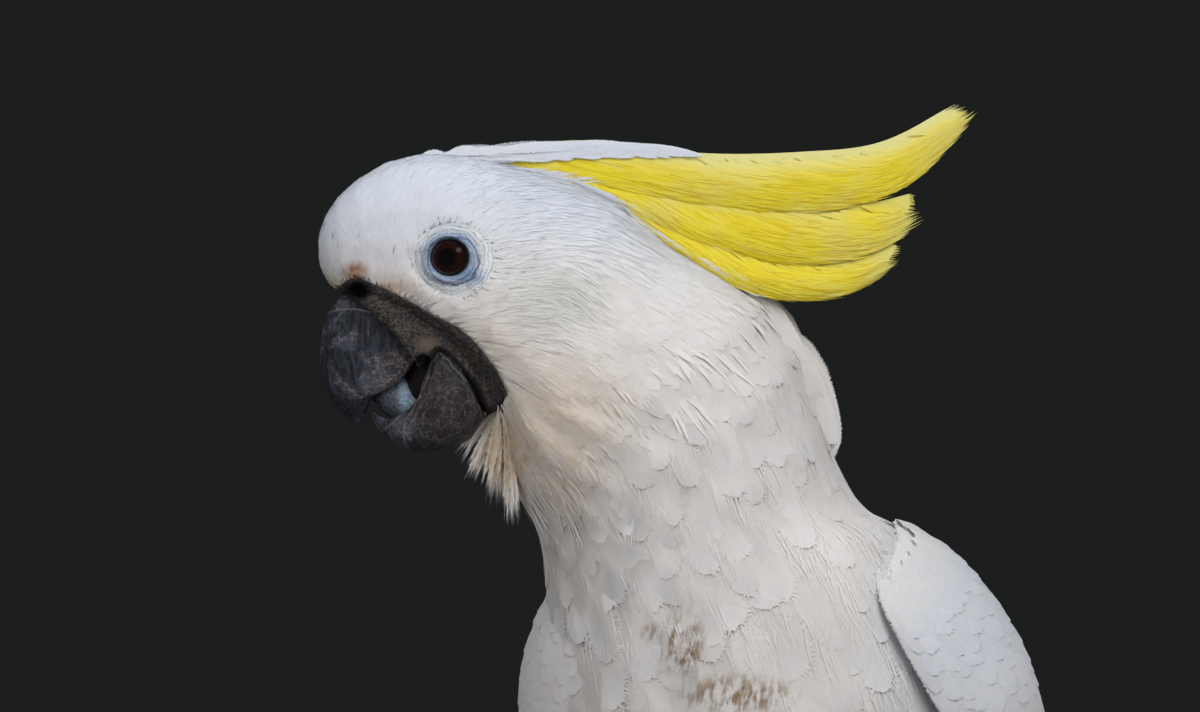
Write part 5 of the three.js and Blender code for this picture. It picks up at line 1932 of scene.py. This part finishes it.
COVERT_ROWS = (  # t of the first and last row, rows, length in t, width, lift of the tip
    (0.012, 0.30, 16, 0.10, 17.0, 0.0),
    (0.30, 0.36, 3, 0.13, 15.0, 0.6),
    (0.37, 0.41, 2, 0.17, 16.0, 0.9),
)
for side, sign in SIDES.items():
    coat = Coat(f"wing_coverts_{side}")
    for first, last, rows, long_t, wide, lift in COVERT_ROWS:
        for t in np.linspace(first, last, rows):
            values = spline(WING, t + 0.04)
            arc = math.radians(values[7] - values[6]) * (values[4] + values[5]) / 2
            count = max(int(arc / (wide * 0.42)), 4)
            for i in range(count):
                k = (i + rng.uniform(0.2, 0.8)) / count
                start = t + abs(rng.normal(0, 0.005))
                grid, facing = covert_grid(sign, start, k, long_t * rng.uniform(0.9, 1.1), wide, 0.0)
                width = wide * MM * rng.uniform(0.9, 1.15)
                high = (0.1 + lift + rng.uniform(-0.05, 0.05)) * MM
                row = (grid_length(grid), width, -0.9 * MM, high)
                coat.lay_one(BODY_VANES, grid, facing, *row, soft=0.98, roll=0.4)
    coat.made(PLUME, "white_feather")

for side, sign in SIDES.items():
    coat = Coat(f"flight_feathers_{side}")
    quills = []
    for i in range(10):  # primaries, from the lowest inward
        s = i / 9
        start, end = (0.45, 0.95 - 0.30 * s), (1.0 - 0.16 * s, 0.72 - 0.20 * s)
        quills.append((start, end, 15.0, 0.4 + 0.35 * i))
    for i in range(9):  # secondaries and tertials, up to the back
        s = i / 8
        start, end = (0.42 - 0.04 * s, 0.80 - 0.62 * s), (0.72 - 0.02 * s, 0.62 - 0.50 * s)
        quills.append((start, end, 21.0, 3.9 + 0.3 * i))
    for start, end, wide, lift in quills:
        grid, facing = wing_feather(sign, start, end, wide, lift - 1.5)
        coat.lay_one(LONG_VANES, grid, facing, grid_length(grid), wide * MM, 0.0, 0.0, roll=0)
    coat.made(PLUME, "white_feather")
    dressed(wing_skins[side], SKIN, "white_feather", f"wing_{side}")

# ---------------------------------------------------------------- stage, light and camera
def area_light(name, where, target, size, power, colour):
    light = bpy.data.lights.new(name, "AREA")
    light.shape = "DISK"
    light.size = size
    light.energy = power
    light.color = colour
    made = bpy.data.objects.new(name, light)
    made.location = where
    made.rotation_euler = (Vector(target) - Vector(where)).to_track_quat("-Z", "Y").to_euler()
    bpy.context.scene.collection.objects.link(made)
    return made


TARGET = (-0.02, -0.1, 0.25)
DAYLIGHT = (1.0, 0.985, 0.96)
LIGHTS = (  # name, place, width, watts, colour, and the rays that pass it by
    ("key", (0.8, -1.6, 1.5), 1.8, 33, DAYLIGHT, "visible_glossy"),
    ("glint", (0.75, -1.7, 1.35), 0.7, 0.9, (0.85, 0.93, 1.0), "visible_diffuse"),
    ("fill", (-1.2, -2.2, 0.5), 2.4, 25, DAYLIGHT, "visible_glossy"),
    ("sky", (-0.2, 0.2, 1.9), 2.0, 10, (0.88, 0.93, 1.0), "visible_glossy"),
)
for name, where, width, watts, colour, unseen in LIGHTS:
    setattr(area_light(name, where, TARGET, width, watts, colour), unseen, False)

# The room lights the bird softly, and shows darker than that behind it and in its eye.
ROOM_LIGHT = (0.26, 0.265, 0.28)
ROOM_IN_GLOSS = (0.03, 0.03, 0.032)
BACKDROP = (0.012, 0.013, 0.013)
world = bpy.data.worlds.new("room")
bpy.context.scene.world = world
world.use_nodes = True
room = Nodes(world.node_tree)
rays = room.new("ShaderNodeLightPath")
direct = room.math("MAXIMUM", rays.outputs["Is Camera Ray"], rays.outputs["Is Glossy Ray"])
background = world.node_tree.nodes["Background"]
lit = room.mix(direct, ROOM_LIGHT, ROOM_IN_GLOSS)
room.put(background.inputs[0], room.mix(rays.outputs["Is Camera Ray"], lit, BACKDROP))

FLOOR_RADIUS = 3.5
FLOOR_GREY = (0.16, 0.16, 0.165)
bpy.ops.mesh.primitive_circle_add(vertices=96, radius=FLOOR_RADIUS, fill_type="NGON", location=(0, 0, 0))
floor = bpy.context.object
floor.name = "floor"
floor.data.materials.append(plain_material("floor", FLOOR_GREY, 0.7))
floor.visible_glossy = False

LENS = 262.5  # millimetres, for a frame of 343 millimetres across at the head
SENSOR = 36
CAMERA_FROM_EYES = (41.76, -2500.0, -27.9)
camera_data = bpy.data.cameras.new("camera")
camera_data.lens = LENS
camera_data.sensor_width = SENSOR
camera_data.clip_end = 50
camera = bpy.data.objects.new("camera", camera_data)
camera.location = EYE_MIDDLE + np.array(CAMERA_FROM_EYES) * MM
camera.rotation_euler = (math.radians(90), 0, 0)
bpy.context.scene.collection.objects.link(camera)
bpy.context.scene.camera = camera
bpy.context.scene.view_settings.view_transform = "Standard"
